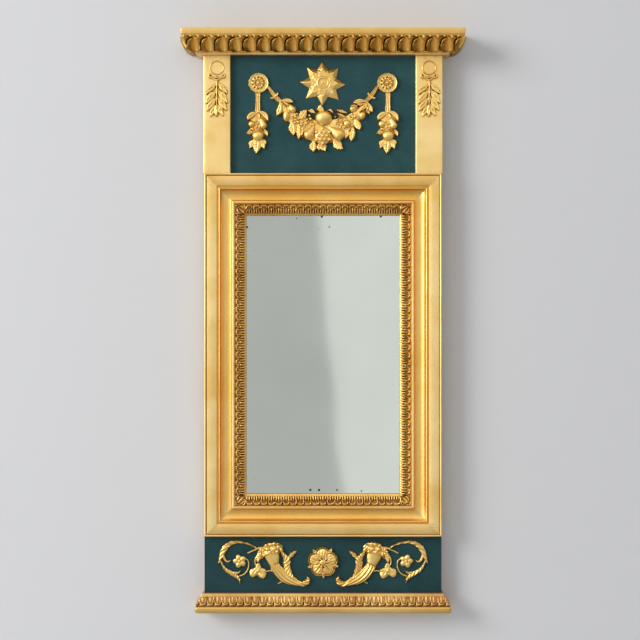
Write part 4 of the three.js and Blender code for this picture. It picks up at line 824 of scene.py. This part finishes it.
STROKES = [  # points, height, section, foot, and lobes where there are any
    ([(-105.8, 23.5, 1.5), (-112.5, 28.2, 1.7), (-123.2, 32.2, 2.0), (-135.2, 34.2, 2.6), (-144.5, 33.2, 3.6),
      (-153.2, 28.9, 4.6), (-159.2, 21.5, 5.0), (-162.5, 13.5, 4.2), (-165.2, 6.2, 2.6), (-168.0, -1.1, 0.8)],
     3.6, acanthus, 0.3, (12, 0.12)),
    ([(-159.9, 11.5, 2.6), (-156.5, 4.9, 2.2), (-151.9, 2.9, 1.7), (-147.2, 5.8, 0.7)], 3.0, leaf, 0.3),
    ([(-163.9, 3.5, 1.6), (-159.9, -5.1, 2.2), (-153.9, -11.8, 3.2), (-144.5, -17.1, 4.0), (-137.9, -21.8, 3.0),
      (-133.9, -27.1, 1.8), (-132.9, -32.3, 0.6)], 3.2, acanthus, 0.3),
    ([(-141.9, -15.1, 2.6), (-136.5, -15.1, 2.0), (-131.6, -11.4, 0.6)], 3.0, leaf, 0.6),
    ([(-133.9, -20.5, 1.4), (-127.2, -17.8, 1.3), (-121.9, -12.5, 1.3), (-119.2, -4.5, 1.3), (-119.9, 3.5, 1.3),
      (-123.9, 7.5, 1.3)], 2.4, stem, 0),
    ([(-105.8, 22.5, 1.3), (-112.5, 20.2, 1.4), (-117.8, 17.5, 1.6), (-120.2, 16.6, 1.5)], 2.6, stem, 0),
    ([(-107, 24, 1.8), (-101, 24.6, 2.6), (-94, 24.6, 3)], 3.4, leaf, 0.4),
    ([(-82.5, 14.5, 12.4), (-80.6, 8.5, 11.2), (-79.2, 3, 9.4), (-78.0, -1.4, 8.2), (-75.2, -7.2, 8.6),
      (-70.7, -13.0, 9.2), (-63.4, -20.2, 9.2), (-56, -24.8, 8.6), (-48.4, -28.2, 7.4), (-38.8, -32.0, 5.0),
      (-30.4, -32.6, 5.0), (-25.4, -29.4, 4.9), (-23.4, -25.4, 3.8), (-25.0, -21.4, 2.0)], 6.0, horn_body, 0.3),
    ([(-98.2, 8.2, 1.5), (-92.8, 13.4, 2.0), (-86, 16.4, 2.1), (-78.2, 17.6, 2.1), (-69.6, 16.6, 1.5)],
     3.0, stem, 5.2),
    ([(-49.5, -24.5, 4.0), (-53.6, -17, 5.2), (-56.4, -9.7, 5.8), (-58.0, -2.5, 6.3), (-57.8, 5.5, 6.0),
      (-61.4, 11.8, 4.3), (-65.6, 17.2, 2.8)], 4.8, acanthus, 0.4, (6, 0.14)),
    ([(-57.0, 6.5, 3.0), (-52.4, 11.2, 3.8), (-47.4, 16.2, 3.5), (-43.2, 19.0, 1.8)], 3.6, acanthus, 0.4, (3, 0.3)),
    ([(-96, 20, 4.2), (-101, 14.5, 4.8), (-103.4, 8, 4.4), (-104.4, 3.6, 2.4)], 3.2, veined, 0.6, (4, 0.16)),
    ([(-102.5, 15, 1.9), (-107.4, 9.4, 1.7), (-109.0, 3, 1.5), (-107.6, -2.6, 1.6), (-104.4, -4.4, 1.6)],
     2.8, stem, 0),
    ([(-105.5, -9, 4.2), (-109.2, -13.4, 6.8), (-112.6, -17.6, 5.2)], 3.0, veined, 0.8, (3, 0.14)),
    ([(-102, -10, 4.2), (-99, -15.4, 6.8), (-96.6, -20.0, 5.0)], 3.0, veined, 0.8, (3, 0.14)),
    ([(-103.4, -10, 4.0), (-103.4, -6.0, 5.4), (-103.6, -2.4, 3.6)], 3.0, veined, 1.2, (3, 0.12)),
    ([(-101.4, -10, 2.4), (-97.0, -11.4, 4.2), (-93.4, -11.6, 2.6)], 2.6, veined, 1.2),
    ([(-90.9, -13.4, 1.2), (-87, -12, 1.3), (-82.1, -12.6, 1.3), (-77.2, -16, 1.3), (-73.3, -19.5, 1.2)],
     2.2, stem, 0),
    ([(-62.6, -26.8, 1.4), (-66, -29.7, 1.1), (-71.2, -32.1, 1.3)], 2.2, stem, 0),
    ([(-80.5, 29.5, 1.2), (-75, 26, 2.8), (-70.5, 18.5, 1)], 2.6, leaf, 5.0)]
FRUIT = [(-88.9, 23.2, 4.6, 4.6, 6.6, 1.2, 0), (-83.4, 30.6, 4.6, 3.8, 5, 1, 0), (-78, 31.6, 4, 3.4, 5, 1, 0),
         (-91, 29.2, 3.2, 3, 4.5, 1, 0), (-78.4, 23.4, 5.4, 5, 7, 1, 0), (-71.6, 26.2, 4.6, 4.6, 5.6, 1, 0),
         (-67.2, 22.2, 3.6, 5.2, 5, 1, 0.4), (-73.5, 19.5, 4, 3.4, 6.6, 1.6, 0), (-85, 18.8, 4.6, 3.6, 6.8, 1.6, 0),
         (-95.4, 13.6, 2.8, 2.6, 4, 1, 0), (-102.4, 12.2, 2.8, 2.4, 3.2, 0.6, 0), (-98.7, 18.6, 2.2, 2.2, 2.4, 4.6, 0),
         (-133.6, 3.6, 2.8, 2.8, 2.4, 3.8, 0), (-110.8, -14.8, 6.8, 6.6, 1.8, 0.6, 0),
         (-98.0, -17.0, 6.8, 6.6, 1.8, 0.6, 0), (-104.2, -11.6, 3.2, 2.8, 2.0, 3.4, 0.6),
         (-104.4, -13, 6.0, 6.0, 2.0, 0.6, 0), (-80, 24.5, 15.0, 9.5, 3.6, 0.6, 0),
         (-98.6, 18.6, 5.4, 4.6, 3.2, 0.4, 0)]
bench, horn = blank(-171, -18, -41, 38, 0.42)
for points, height, section, foot, *lobes in STROKES:
    horn.ribbon(points, height, section, foot, 0.0, 0.0, *lobes)
for x, y, across, along, *rest in FRUIT:
    horn.lump(x, y, across * 1.08, along * 1.08, *rest)
for x, y, reach, size, count in ((-133.6, 3.6, 5.6, 5.8, 5), (-98.7, 18.6, 3.6, 3.0, 5)):
    for k in range(count):
        turn = math.radians(35 + 360 / count * k)
        dx, dy = polar(reach, turn)
        horn.lump(x + dx, y + dy, size, 0.86 * size, 4.2, 0.4, turn)
cast(bench, horn)
hang("left_horn_casting", bench, 0, LOWER_MIDDLE, PANEL_FRONT, "left_horn_of_plenty")
hang("right_horn_casting", bench, 0, LOWER_MIDDLE, PANEL_FRONT, "right_horn_of_plenty", mirrored=True)
bench.free()

# %% [markdown]
# ## A moulding from its section
# A joiner planes a moulding as one long stick and saws its ends at 45 degrees. The same steps work here.
# A grid is wrapped round the section, so its rows run along the stick. Where the moulding is carved, the
# relief is wrapped on its face: u runs along the stick, v down the face, and the height goes out square to
# it. Then a bisect saws each mitre and the cut is filled.

# %% Arcs, sticks and mitres
def arc(start, end, bulge, steps=8):
    """Points on a quarter ellipse between two corners; bulge 1 leaves along the first axis, -1 along the second."""
    turns = [i / steps * math.pi / 2 for i in range(steps + 1)]
    return [(start[0] + (end[0] - start[0]) * (math.sin(a) if bulge > 0 else 1 - math.cos(a)),
             start[1] + (end[1] - start[1]) * (1 - math.cos(a) if bulge > 0 else math.sin(a))) for a in turns]


def stick(section, start, end, steps, carve=None):
    """A closed stick with its section in (w, h) and its length l along the third axis. carve(w, h, l, k)
    moves the points and says how deep each was cut; k is each point's number in the section."""
    bench = bmesh.new()
    around = len(section)
    bmesh.ops.create_grid(bench, x_segments=steps, y_segments=around, size=0.5)
    grid = np.array([vert.co[:2] for vert in bench.verts]) + 0.5
    k = np.rint(grid[:, 1] * around).astype(int) % around
    w, h = np.array(section, float)[k].T
    l = start + (end - start) * np.rint(grid[:, 0] * steps) / steps
    depth = np.zeros(len(w))
    if carve:
        w, h, l, depth = carve(w, h, l, k)
    hollow = bench.verts.layers.float.new("hollow")
    for vert, place, cut in zip(bench.verts, zip(w, h, l), depth):
        vert.co, vert[hollow] = place, cut
    bmesh.ops.remove_doubles(bench, verts=bench.verts, dist=1e-4)
    bmesh.ops.holes_fill(bench, edges=[e for e in bench.edges if e.is_boundary], sides=0)
    bmesh.ops.recalc_face_normals(bench, faces=bench.faces)
    return bench


def saw(bench, point, outwards):
    """Cuts a bench mesh through a plane, drops the side that outwards points to, and closes the cut."""
    bmesh.ops.bisect_plane(bench, geom=whole(bench), dist=1e-5, plane_co=point, plane_no=outwards, clear_outer=True)
    bmesh.ops.triangle_fill(bench, edges=[e for e in bench.edges if e.is_boundary], use_beauty=True)


def on_face(section, first, last, floor, pattern):
    """A carve function: lays pattern(relief, w, l) on points first to last of a section."""
    face = np.array(section[first : last + 1], float)
    way = np.concatenate([[0], np.cumsum(np.hypot(*np.diff(face, axis=0).T))])
    ahead = np.gradient(face, axis=0)
    ahead /= np.hypot(*ahead.T)[:, None]

    def carve(w, h, l, k):
        spot = np.flatnonzero((k >= first) & (k <= last))
        row = k[spot] - first
        relief = Relief(l[spot].copy(), way[row], floor)
        pattern(relief, w[spot])
        ease = np.clip(np.minimum(row, last - first - row), 0, 1)  # the first and last rows stay put
        w[spot] -= ahead[row, 1] * relief.h * ease
        h[spot] += ahead[row, 0] * relief.h * ease
        depth = np.zeros(len(w))
        depth[spot] = np.clip(relief.h / floor, 0, 1) * ease
        return w, h, l, depth

    return carve


print("mouldings: wrapped on a stick, carved on a face, sawn at the ends")

# %% [markdown]
# ## The mirror frame
# Its section runs from a thin outer bead over the wide flat band, a small bead, a hollow and a raised
# ridge, down to a ledge that carries the leaf run. The four sticks meet in mitres. Gesso never lies dead
# flat, so the face waves by a tenth of a millimetre or two.

# %% Frame mouldings
BACK = 18.1  # how far the section's back is from the wall
FRAME_SECTION = (  # (in from the frame's outer edge, out from the wall)
    [(0, BACK), (0, 35.4)]
    + [(1.75 - 1.75 * math.cos(t), 35.4 + 1.8 * math.sin(t)) for t in (0.5, 1.0, 1.57, 2.14, 2.64)]
    + [(3.4, 34.6), (4.4, 34.6), (4.6, 35.9), (5.0, 36), (12, 36), (19.8, 36), (20.2, 35.8), (20.3, 33.6)]
    + [(23.2, 33.6), (23.3, 34.8), (23.8, 35.6), (24.5, 35.9), (25.2, 35.6), (25.7, 34.8), (25.8, 34)]
    + arc((25.8, 33.4), (36, 26), -1, 10)[1:]
    + arc((36, 26), (43.7, 28.2), 1, 5)[1:]
    + [(43.9, 30.2), (44.3, 31), (44.9, 31.25), (47.5, 31.25), (48.1, 31), (48.4, 30.4)]
    + [(48.4, 21), (66, 21), (66, BACK)]
)
SIDES = {
    "top": ((0, 0, -1), (HALF_BODY, 0, FRAME_TOP), 2 * HALF_BODY),
    "bottom": ((0, 0, 1), (-HALF_BODY, 0, FRAME_BOTTOM), 2 * HALF_BODY),
    "left": ((1, 0, 0), (-HALF_BODY, 0, FRAME_TOP), FRAME_TOP - FRAME_BOTTOM),
    "right": ((-1, 0, 0), (HALF_BODY, 0, FRAME_BOTTOM), FRAME_TOP - FRAME_BOTTOM),
}
TOWARDS = Vector((0, -1, 0))


def gesso_waves(w, h, l, k):
    """Waves the front of a member, and marks the groove beside its bead, where the gilding is darker: partly soiling,
    partly painted shade.
    """
    drift = [noise.noise((a * 0.03, b * 0.016, 0)) + 0.4 * noise.noise((a * 0.16, b * 0.09, 7)) for a, b in zip(w, l)]
    groove = (w > 3.3) & (w < 4.5)
    return w, h + np.where(h > BACK + 4, 0.16, 0) * np.array(drift), l, groove.astype(float)


def mitred_side(section, side, steps, carve=None):
    """One side of the rectangle, mitred inwards at both ends and placed in the world."""
    inward, origin, length = SIDES[side]
    bench = stick(section, 0, length, steps, carve)
    saw(bench, (0, 0, MITRE_GAP), (1, 0, -1))
    saw(bench, (0, 0, length - MITRE_GAP), (1, 0, 1))
    inward = Vector(inward)
    bmesh.ops.transform(bench, matrix=axes(inward, TOWARDS, inward.cross(TOWARDS), origin), verts=bench.verts)
    return bench


for side, (_, _, length) in SIDES.items():
    # The top and the bottom get the rails' darker gold: painted shade for strokes that run across the light.
    gold = rail_gilding_painted_darker if side in ("top", "bottom") else board_gilding
    finish_piece(f"moulding_{side}", mitred_side(FRAME_SECTION, side, round(length / 6), gesso_waves),
                 gold, (f"frame_{side}",), smooth=35)

# %% [markdown]
# ## The leaf run next to the glass
# A run of small water leaves, one every 12 mm, carved on the slope between the ridge and the glass. A leaf
# has a raised rim like an arch, a deep hollow under it, and three ribs that run out to the plain edge at the
# glass. A larger leaf covers each mitre: it lies along the diagonal, so its ground is turned by 45 degrees.

# %% Carve the leaf run
LEAF_SLOPE = [(49.4, 29.0), (50.0, 29.5)] + arc((64.0, 26.0), (50.6, 29.6), -1, 22)[::-1] + [(64.4, 24.6)]
LEAF_SECTION = [(48.7, 21.1), (48.7, 28.2)] + LEAF_SLOPE + [(66.6, 23.9), (67, 23.4), (67, 21.1)]
CORNER = 66.0  # where the mitre's leaf ends, measured along the stick
FAR_AWAY = 99.0  # out of reach of every small leaf


def small_leaves(length, pitch=12.0):
    """The pattern of one member: small leaves at an even spacing near the pitch, and half of each corner's leaf."""
    count = round((length - 2 * CORNER) / pitch)
    spacing = (length - 2 * CORNER) / count

    def pattern(relief, w):
        from_end = np.minimum(relief.x, length - relief.x)
        in_run = from_end > CORNER
        relief.x = np.where(in_run, ((from_end - CORNER) / spacing % 1 - 0.5) * pitch, FAR_AWAY)
        relief.ribbon([(-4.6, 9, 0.5), (-4.9, 5.5, 0.9), (-3.7, 2.4, 1.15), (0, 1.4, 1.3), (3.7, 2.4, 1.15),
                       (4.9, 5.5, 0.9), (4.6, 9, 0.5)], 2.8, stem, foot=-1.0)
        relief.ribbon([(0, 6.4, 0.7), (0, 10, 1.3), (0, 14.8, 1.5)], 3.0, stem, foot=-1.2)
        for side in (-1, 1):
            relief.ribbon([(side * 3.4, 8.4, 0.8), (side * 3.9, 11.5, 1.3), (side * 3.8, 14.6, 1.3)], 2.6, stem,
                          foot=-1.2)
        corner = np.flatnonzero(~in_run)
        c = (from_end[corner] - w[corner]) / math.sqrt(2)
        g = (from_end[corner] + w[corner] - 2 * 49.4) / math.sqrt(2)
        big = Relief(c, g, -1.6)
        for side in (-1, 1):
            big.ribbon([(0, 2.6, 1.3), (side * 5.4, 4.4, 1.4), (side * 9.4, 9.4, 1.3), (side * 7.6, 15, 1.1),
                        (side * 2.4, 20.4, 0.8)], 2.7, stem, foot=-0.9)
            big.ribbon([(side * 1.2, 7.4, 0.7), (side * 4.6, 10, 1.3), (side * 5.4, 14.2, 1.2)], 2.2, stem, foot=-0.9)
        big.ribbon([(0, 6.0, 0.7), (0, 13, 1.6), (0, 21, 1.0)], 2.4, stem, foot=-0.9)
        relief.h[corner] = big.h

    return pattern


for side, (_, _, length) in SIDES.items():
    carve = on_face(LEAF_SECTION, 3, 3 + len(LEAF_SLOPE) - 2, -1.7, small_leaves(length))
    finish_piece(f"leaf_carving_{side}", mitred_side(LEAF_SECTION, side, round(length / 0.66), carve),
                 carved_gilding, (f"leaf_run_{side}",), smooth=70)

# %% [markdown]
# ## Eggs and darts
# The cornice's ovolo is carved with tall eggs, one every 22 mm. A thin curved lip sweeps round each egg and
# leaves a hollow channel on its left, and small beads fill the top. The run is mitred outwards round the
# front and its two returns.

# %% Runs on three sides
RUN_GAP, END_GAP = 0.07, 0.2  # half the joint of an outward mitre, and what a square end stops short by
THREE_SIDES = {  # direction the profile stands out, where the run starts, its length, its mitres
    "front": (Vector((0, -1, 0)), 1, 2 * HALF_BODY, (True, True)),
    "left": (Vector((-1, 0, 0)), -1, None, (True, False)),
    "right": (Vector((1, 0, 0)), 1, None, (False, True)),
}


def outward_run(section, where, reference, foot, spacing, carve=None, over=40):
    """A run round the front or a return. reference is the depth of the core it is fixed to."""
    out, side, length, mitres = THREE_SIDES[where]
    length = length or reference
    start_y = 0 if where == "right" else -reference
    start, end = (-over if mitres[0] else END_GAP), (length + over if mitres[1] else length - END_GAP)
    bench = stick(section, start, end, round((end - start) / spacing), carve)
    if mitres[0]:
        saw(bench, (0, 0, RUN_GAP), (-1, 0, -1))
    if mitres[1]:
        saw(bench, (0, 0, length - RUN_GAP), (-1, 0, 1))
    up = Vector((0, 0, 1))
    origin = (side * HALF_BODY, start_y, foot)
    bmesh.ops.transform(bench, matrix=axes(out, up, out.cross(up), origin), verts=bench.verts)
    return bench


EGG_FACE = [(14.3, 5.5), (14.4, 5.6)] + arc((14.6, 5.7), (33, 25.6), 1, 34)[1:] + [(33, 26.6), (33, 27.5)]
EGG_SECTION = [(10.7, 3.0), (13.8, 3.0), (14.3, 3.5), (14.3, 5.2)] + EGG_FACE + [(33, 27.9), (10.7, 27.9)]
RUN_STANDS_OUT, EGGS_ACROSS = 10.7, 18
EGG_PITCH = 2 * (HALF_BODY + RUN_STANDS_OUT) / EGGS_ACROSS


def eggs(first):
    """A run's pattern, with an egg at first. The face is about 32 mm from its foot, v = 0, to its top."""

    def pattern(relief, w):
        relief.x = (first - relief.x + EGG_PITCH / 2) % EGG_PITCH - EGG_PITCH / 2
        for shift in (-EGG_PITCH, 0, EGG_PITCH):
            relief.ribbon([(shift - 2.6, 28.2, 1.0), (shift - 8, 27.8, 1.0), (shift - 12.8, 25.2, 1.0),
                           (shift - 15.2, 20.6, 1.0), (shift - 15.9, 14.6, 1.0), (shift - 15.5, 9, 1.05),
                           (shift - 14.2, 5, 1.1), (shift - 12.4, 2.4, 1.2)], 4.9, stem, foot=-2.6)
            for x in (-12.4, -1.2):
                relief.lump(shift + x, 30.2, 3.8, 2.4, 5.4, foot=-2.6)
            relief.lump(shift - 17.4, 2.6, 2.3, 2.6, 4.2, foot=-2.0)
        relief.lump(-1.0, 16.0, 6.6, 12.6, 6.9, foot=-2.7)
        relief.ribbon([(-12, 0.4, 1.2), (12, 0.4, 1.2)], 2.8, stem, foot=-2.0)

    return pattern


for where, node, first in (("front", "egg_run_front", -RUN_STANDS_OUT), ("left", "egg_run_left", -RUN_STANDS_OUT),
                           ("right", "egg_run_right", CORNICE_REF + RUN_STANDS_OUT)):
    carve = on_face(EGG_SECTION, 4, 2 + len(EGG_FACE), -3.4, eggs(first))
    bench = outward_run(EGG_SECTION, where, CORNICE_REF, UPPER_TOP, 0.85, carve)
    finish_piece(f"egg_carving_{where}", bench, egg_gilding, (node,), smooth=75)

# %% [markdown]
# ## The leaf tongues of the base
# Below the lower field a fillet stands over a slightly hollow slope with rounded leaf tongues, one every
# 12 mm. Each tongue has a rolled rim and a vein, and its round end stands on the plinth.

# %% Base runs
SLOPE = smooth_line([(4.0, 14.0, 0), (6.0, 9.4, 0), (9.0, 5.2, 0), (12.6, 1.6, 0)], 6)[:, :2]
BASE_FACE = [(3.4, 14.8), (3.8, 14.4)] + [tuple(point) for point in SLOPE] + [(12.9, 1.0), (12.8, 0.7)]
BASE_SECTION = [(0.1, 19.5), (2.9, 19.5), (3.2, 19.2), (3.2, 15.2)] + BASE_FACE + [(11.6, 0.1), (0.1, 0.1)]
TONGUE_PITCH = 11.9


def tongues(relief, w):
    relief.x = (relief.x + 5.0) % TONGUE_PITCH - TONGUE_PITCH / 2
    relief.ribbon([(0, -1, 4.6), (0, 6, 4.8), (0, 11.6, 4.2)], 1.0, stem, foot=-1.5)
    for side in (-1, 1):
        relief.ribbon([(side * 5.2, -1, 1.0), (side * 5.0, 5, 1.1), (side * 4.5, 9.6, 1.3), (side * 3.0, 12.7, 1.5),
                       (0, 14.0, 1.6)], 3.0, stem, foot=-1.1)
    relief.ribbon([(0, -1, 0.9), (0, 5.5, 1.3), (0, 10.6, 0.9)], 2.6, stem, foot=-1.3)


for where, node in (("front", "base_front"), ("left", "base_left_return"), ("right", "base_right_return")):
    carve = on_face(BASE_SECTION, 5, 4 + len(BASE_FACE) - 2, -1.9, tongues)
    bench = outward_run(BASE_SECTION, where, BASE_REF, PLINTH_TOP, 0.75, carve, over=16)
    finish_piece(f"base_carving_{where}", bench, base_gilding, (node,), smooth=75)

# %% [markdown]
# ## Cornice board, plinth and pilasters
# These are plain gilt boards, and their charm is in their edges, which two centuries have softened and
# chipped. Each starts as a box from the CAD's corners. Its front edges are rounded with a bevel, it is sawn
# into short lengths so that it can bend a little, and noise then waves the faces and eats at the edges.

# %% Worn boards
def worn_board(name, node, gold, edges_at, ease, segments, lengths, chips):
    """A board whose edges are rounded by ease where edges_at says so, then sawn into lengths along x, y and z."""
    low, high = (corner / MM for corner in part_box(node))
    bench = bmesh.new()
    bmesh.ops.create_cube(bench, size=1)
    bmesh.ops.scale(bench, vec=high - low, verts=bench.verts)
    bmesh.ops.translate(bench, vec=(low + high) / 2, verts=bench.verts)
    middle = (low + high) / 2
    rounded = [e for e in bench.edges if edges_at((e.verts[0].co + e.verts[1].co) / 2, low, high)]
    bmesh.ops.bevel(bench, geom=rounded, offset=ease, segments=segments, profile=0.5, affect="EDGES", material=-1)
    for axis, spacing in enumerate(lengths):
        for i in range(1, int((high[axis] - low[axis]) / spacing)):
            point, normal = Vector(low), Vector((0, 0, 0))
            point[axis] += i * spacing
            normal[axis] = 1
            bmesh.ops.bisect_plane(bench, geom=whole(bench), dist=1e-4, plane_co=point, plane_no=normal)
    for vert in bench.verts:
        if vert.co.y > high.y - 0.5:
            continue  # the back stays flat
        wave = 0.14 * noise.noise(vert.co * 0.04) + 0.05 * noise.noise(vert.co * 0.2)
        edge = min(vert.co.z - low.z, high.z - vert.co.z, abs(abs(vert.co.x - middle.x) - (high.x - low.x) / 2) * 0.5)
        bite = max(0.0, noise.noise(vert.co * 0.09 + Vector((9, 3, 1))) - 0.42) * chips if edge < 1.2 else 0.0
        vert.co += (middle - vert.co).normalized() * (bite + 0.12 + wave)
    bmesh.ops.transform(bench, matrix=Matrix.Scale(MM, 4), verts=bench.verts)
    finish_piece(name, bench, gold, (node,), smooth=40)


def front_and_sides(at, low, high):
    return at.y < high.y - 1


def upright_front(at, low, high):
    return at.y < low.y + 1 and low.z + 1 < at.z < high.z - 1


worn_board("cornice_board", "cornice_top_board", edge_gilding, front_and_sides, 1.1, 3, (5, 9), 3.0)
worn_board("plinth", "plinth_board", edge_gilding, front_and_sides, 3.4, 6, (5, 9), 2.0)
for side in ("left", "right"):
    worn_board(f"{side}_pilaster_board", f"{side}_pilaster", board_gilding, upright_front, 1.5, 4, (7, 99, 6), 1.0)

# %% [markdown]
# ## The hanging loop
# The loop on the back is a bent iron wire with a straight bar that turns in the plate. A curve with a round
# bevel is what a wire is: one centre line and one thickness. It rides on its own body, so it can swing.

# %% Loop
low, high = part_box("hanger_loop")
WIRE = 2.0
half, top, foot = high.x / MM - WIRE, high.z / MM - WIRE, low.z / MM + WIRE
bar_y = (low.y + high.y) / 2 / MM
curve = bpy.data.curves.new("loop_line", "CURVE")
curve.dimensions = "3D"
curve.bevel_depth = WIRE
curve.bevel_resolution = 4
spline = curve.splines.new("POLY")
bow = [(half * math.cos(a), foot + half - half * math.sin(a)) for a in np.linspace(0, math.pi, 25)]
path = [(half, top)] + bow + [(-half, top)]
spline.points.add(len(path) - 1)
for point, (x, z) in zip(spline.points, path):
    point.co = (x, bar_y, z, 1)
spline.use_cyclic_u = True
wire = bpy.data.objects.new("loop_line", curve)
scene.collection.objects.link(wire)
bench = bmesh.new()
bench.from_mesh(wire.to_mesh())
bpy.data.objects.remove(wire)
bmesh.ops.transform(bench, matrix=Matrix.Scale(MM, 4), verts=bench.verts)
finish_piece("hanging_loop", bench, iron, ("hanger_loop",), body="loop")

# %% [markdown]
# ## Camera
# The photograph was taken square on, from about two and a half metres, with a lens that is long enough to
# keep the mirror's sides out of sight. The camera stands level with the middle of the mirror.

# %% Camera
SENSOR_WIDTH, FOCAL_LENGTH = 36.0, 88.15
CAMERA_PLACE = (-0.0048, -2.538, -0.4007)
camera_data = bpy.data.cameras.new("camera")
camera_data.sensor_width = SENSOR_WIDTH
camera_data.lens = FOCAL_LENGTH
camera = bpy.data.objects.new("camera", camera_data)
scene.collection.objects.link(camera)
camera.location = CAMERA_PLACE
camera.rotation_euler = (math.radians(90), 0, 0)
scene.camera = camera
print("camera", round(-CAMERA_PLACE[1], 2), "m from the wall")

# %% [markdown]
# ## Wall and floor
# The wall is a backdrop and is seen only from the front. Right behind the mirror it has openings that the
# mirror covers, so that light reaches the mirror's back when that is looked at. Each is cut by four bisects,
# and the faces inside it are taken out.

# %% Wall and floor
WALL_GAP = 0.0006  # the wall stands this far behind the mirror's back
FLOOR_LEVEL = -1.6
BEHIND_THE_MIRROR = ((0.1885, -0.866, 0.0585), (0.21, 0.033, 0.059), (0.223, 0.052, 0.0595),
                     (0.2025, -0.8665, -0.8585))  # half width, foot and head of each opening


def stage_plane(name, size, matrix, colour, one_sided=False, openings=()):
    """A plane that faces along the matrix's third axis; each opening has a half width, a foot and a head."""
    bench = bmesh.new()
    bmesh.ops.create_grid(bench, x_segments=1, y_segments=1, size=0.5)
    bmesh.ops.scale(bench, vec=(size[0], size[1], 1), verts=bench.verts)
    bmesh.ops.transform(bench, matrix=matrix, verts=bench.verts)
    for half, foot, head in openings:
        for point, across in ((-half, (1, 0, 0)), (half, (1, 0, 0)), (foot, (0, 0, 1)), (head, (0, 0, 1))):
            bmesh.ops.bisect_plane(bench, geom=whole(bench), plane_co=Vector(across) * point, plane_no=across)
    cut_out = []
    for face in bench.faces:
        middle = face.calc_center_median()
        if any(abs(middle.x) < half and foot < middle.z < head for half, foot, head in openings):
            cut_out.append(face)
    bmesh.ops.delete(bench, geom=cut_out, context="FACES")
    mesh = bpy.data.meshes.new(name)
    bench.to_mesh(mesh)
    bench.free()
    plane = bpy.data.objects.new(name, mesh)
    scene.collection.objects.link(plane)
    material, tree, shader = new_material(name + "_paint")
    plug(tree, shader, Base_Color=colour, Roughness=0.9, Specular_IOR_Level=0.1)
    if one_sided:
        behind = add_node(tree, "NewGeometry").outputs["Backfacing"]
        both = add_node(tree, "MixShader", _0=behind, _1=shader, _2=add_node(tree, "BsdfTransparent"))
        plug(tree, tree.nodes["Material Output"], Surface=both)
    mesh.materials.append(material)
    print(f"{name}: {len(mesh.polygons)} faces")
    return plane


upright = Matrix.Rotation(math.radians(90), 4, "X")
stage_plane("wall", (8, 4), Matrix.Translation((0, WALL_GAP, 0.4)) @ upright, "#e6e6e8", True, BEHIND_THE_MIRROR)
stage_plane("floor", (12, 12), Matrix.Translation((0, 0, FLOOR_LEVEL)), "#dcdcda")

# %% [markdown]
# ## Light
# A soft window stands to the upper left, so the shadow on the wall falls to the right. A weak lamp behind
# the wall lights only the mirror's back. The world is what metal sees: a room that grows paler upwards and
# to the left, a little warm. Diffuse surfaces see an even grey and the camera a pale one.

# %% Light
MIDDLE = (0, 0, -0.4)


def lamp(name, place, size, power):
    data = bpy.data.lights.new(name, "AREA")
    data.shape = "DISK"
    data.size = size
    data.energy = power
    light = bpy.data.objects.new(name, data)
    scene.collection.objects.link(light)
    light.location = place
    light.rotation_euler = (Vector(MIDDLE) - Vector(place)).to_track_quat("-Z", "Y").to_euler()
    print(f"{name}: {power} W")


lamp("window", (-4.8, -3.4, 1.4), 3.0, 205)
lamp("back_fill", (1.5, 2.6, 0.8), 1.5, 40)
world = bpy.data.worlds.new("studio")
scene.world = world
world.use_nodes = True
world.cycles.sampling_method = "NONE"
tree = world.node_tree
path = add_node(tree, "LightPath")
direction = add_node(tree, "SeparateXYZ", Vector=add_node(tree, "TexCoord").outputs["Generated"])
height = add_node(tree, "Math", TIMES, _0=direction.outputs["Z"], _1=0.5)
lean = add_node(tree, "Math", {"operation": "MULTIPLY_ADD"}, _0=direction.outputs["X"], _1=-0.55, _2=height)
room = add_node(tree, "ValToRGB", {"stops": [(0.1, 0.25), (0.5, 0.86), (0.75, 1.0)]},
                Fac=add_node(tree, "MapRange", Value=lean, From_Min=-0.8, From_Max=0.8))
warm = add_node(tree, "Mix", TINT, _0=1.0, _1=room, _2="#fffef4")
mirrored = add_node(tree, "Background", Color=warm, Strength=1.3)
diffuse = add_node(tree, "Background", Color="#f4f5f6", Strength=0.5)
seen = add_node(tree, "Background", Color="#e8e9ea", Strength=1.0)
shiny = add_node(tree, "Math", HIGHER, _0=path.outputs["Is Glossy Ray"], _1=path.outputs["Is Transmission Ray"])
light = add_node(tree, "MixShader", _0=shiny, _1=diffuse, _2=mirrored)
light = add_node(tree, "MixShader", _0=path.outputs["Is Camera Ray"], _1=light, _2=seen)
plug(tree, tree.nodes["World Output"], Surface=light)
scene.view_settings.view_transform = "Standard"

# %% [markdown]
# ## The room in the glass
# A mirror shows what stands before it. Here that is a pale wall with a darker stretch on its left, seen in
# old glass that bends the boundary. One card far behind the camera gives both tones. Only the reflection
# sees it, so it lights nothing.

# %% Card behind the camera
facing_back = Matrix.Translation((0, -5, -0.4)) @ Matrix.Rotation(math.radians(-90), 4, "X")
card = stage_plane("reflected_room", (3.2, 3.6), facing_back, "#ffffff")
card.visible_camera = False
card.visible_diffuse = False
card.visible_shadow = False
tree = card.data.materials[0].node_tree
place = add_node(tree, "TexCoord").outputs["Object"]
split = add_node(tree, "SeparateXYZ", Vector=place)
offset = add_node(tree, "MapRange", Value=grain(tree, place, 1.6, 1), To_Min=-0.03, To_Max=0.038)
slope = add_node(tree, "Math", {"operation": "MULTIPLY_ADD"}, _0=split.outputs["Z"], _1=0.087, _2=offset)
edge = add_node(tree, "Math", PLUS, _0=split.outputs["X"], _1=slope)
tone = add_node(tree, "ValToRGB", {"stops": [(0.2, "#c9cac9"), (0.8, "#f6f6f5")]},
                Fac=add_node(tree, "MapRange", Value=edge, From_Min=-0.02, From_Max=0.02))
plug(tree, tree.nodes["Material Output"], Surface=add_node(tree, "Emission", Color=tone, Strength=1.0))
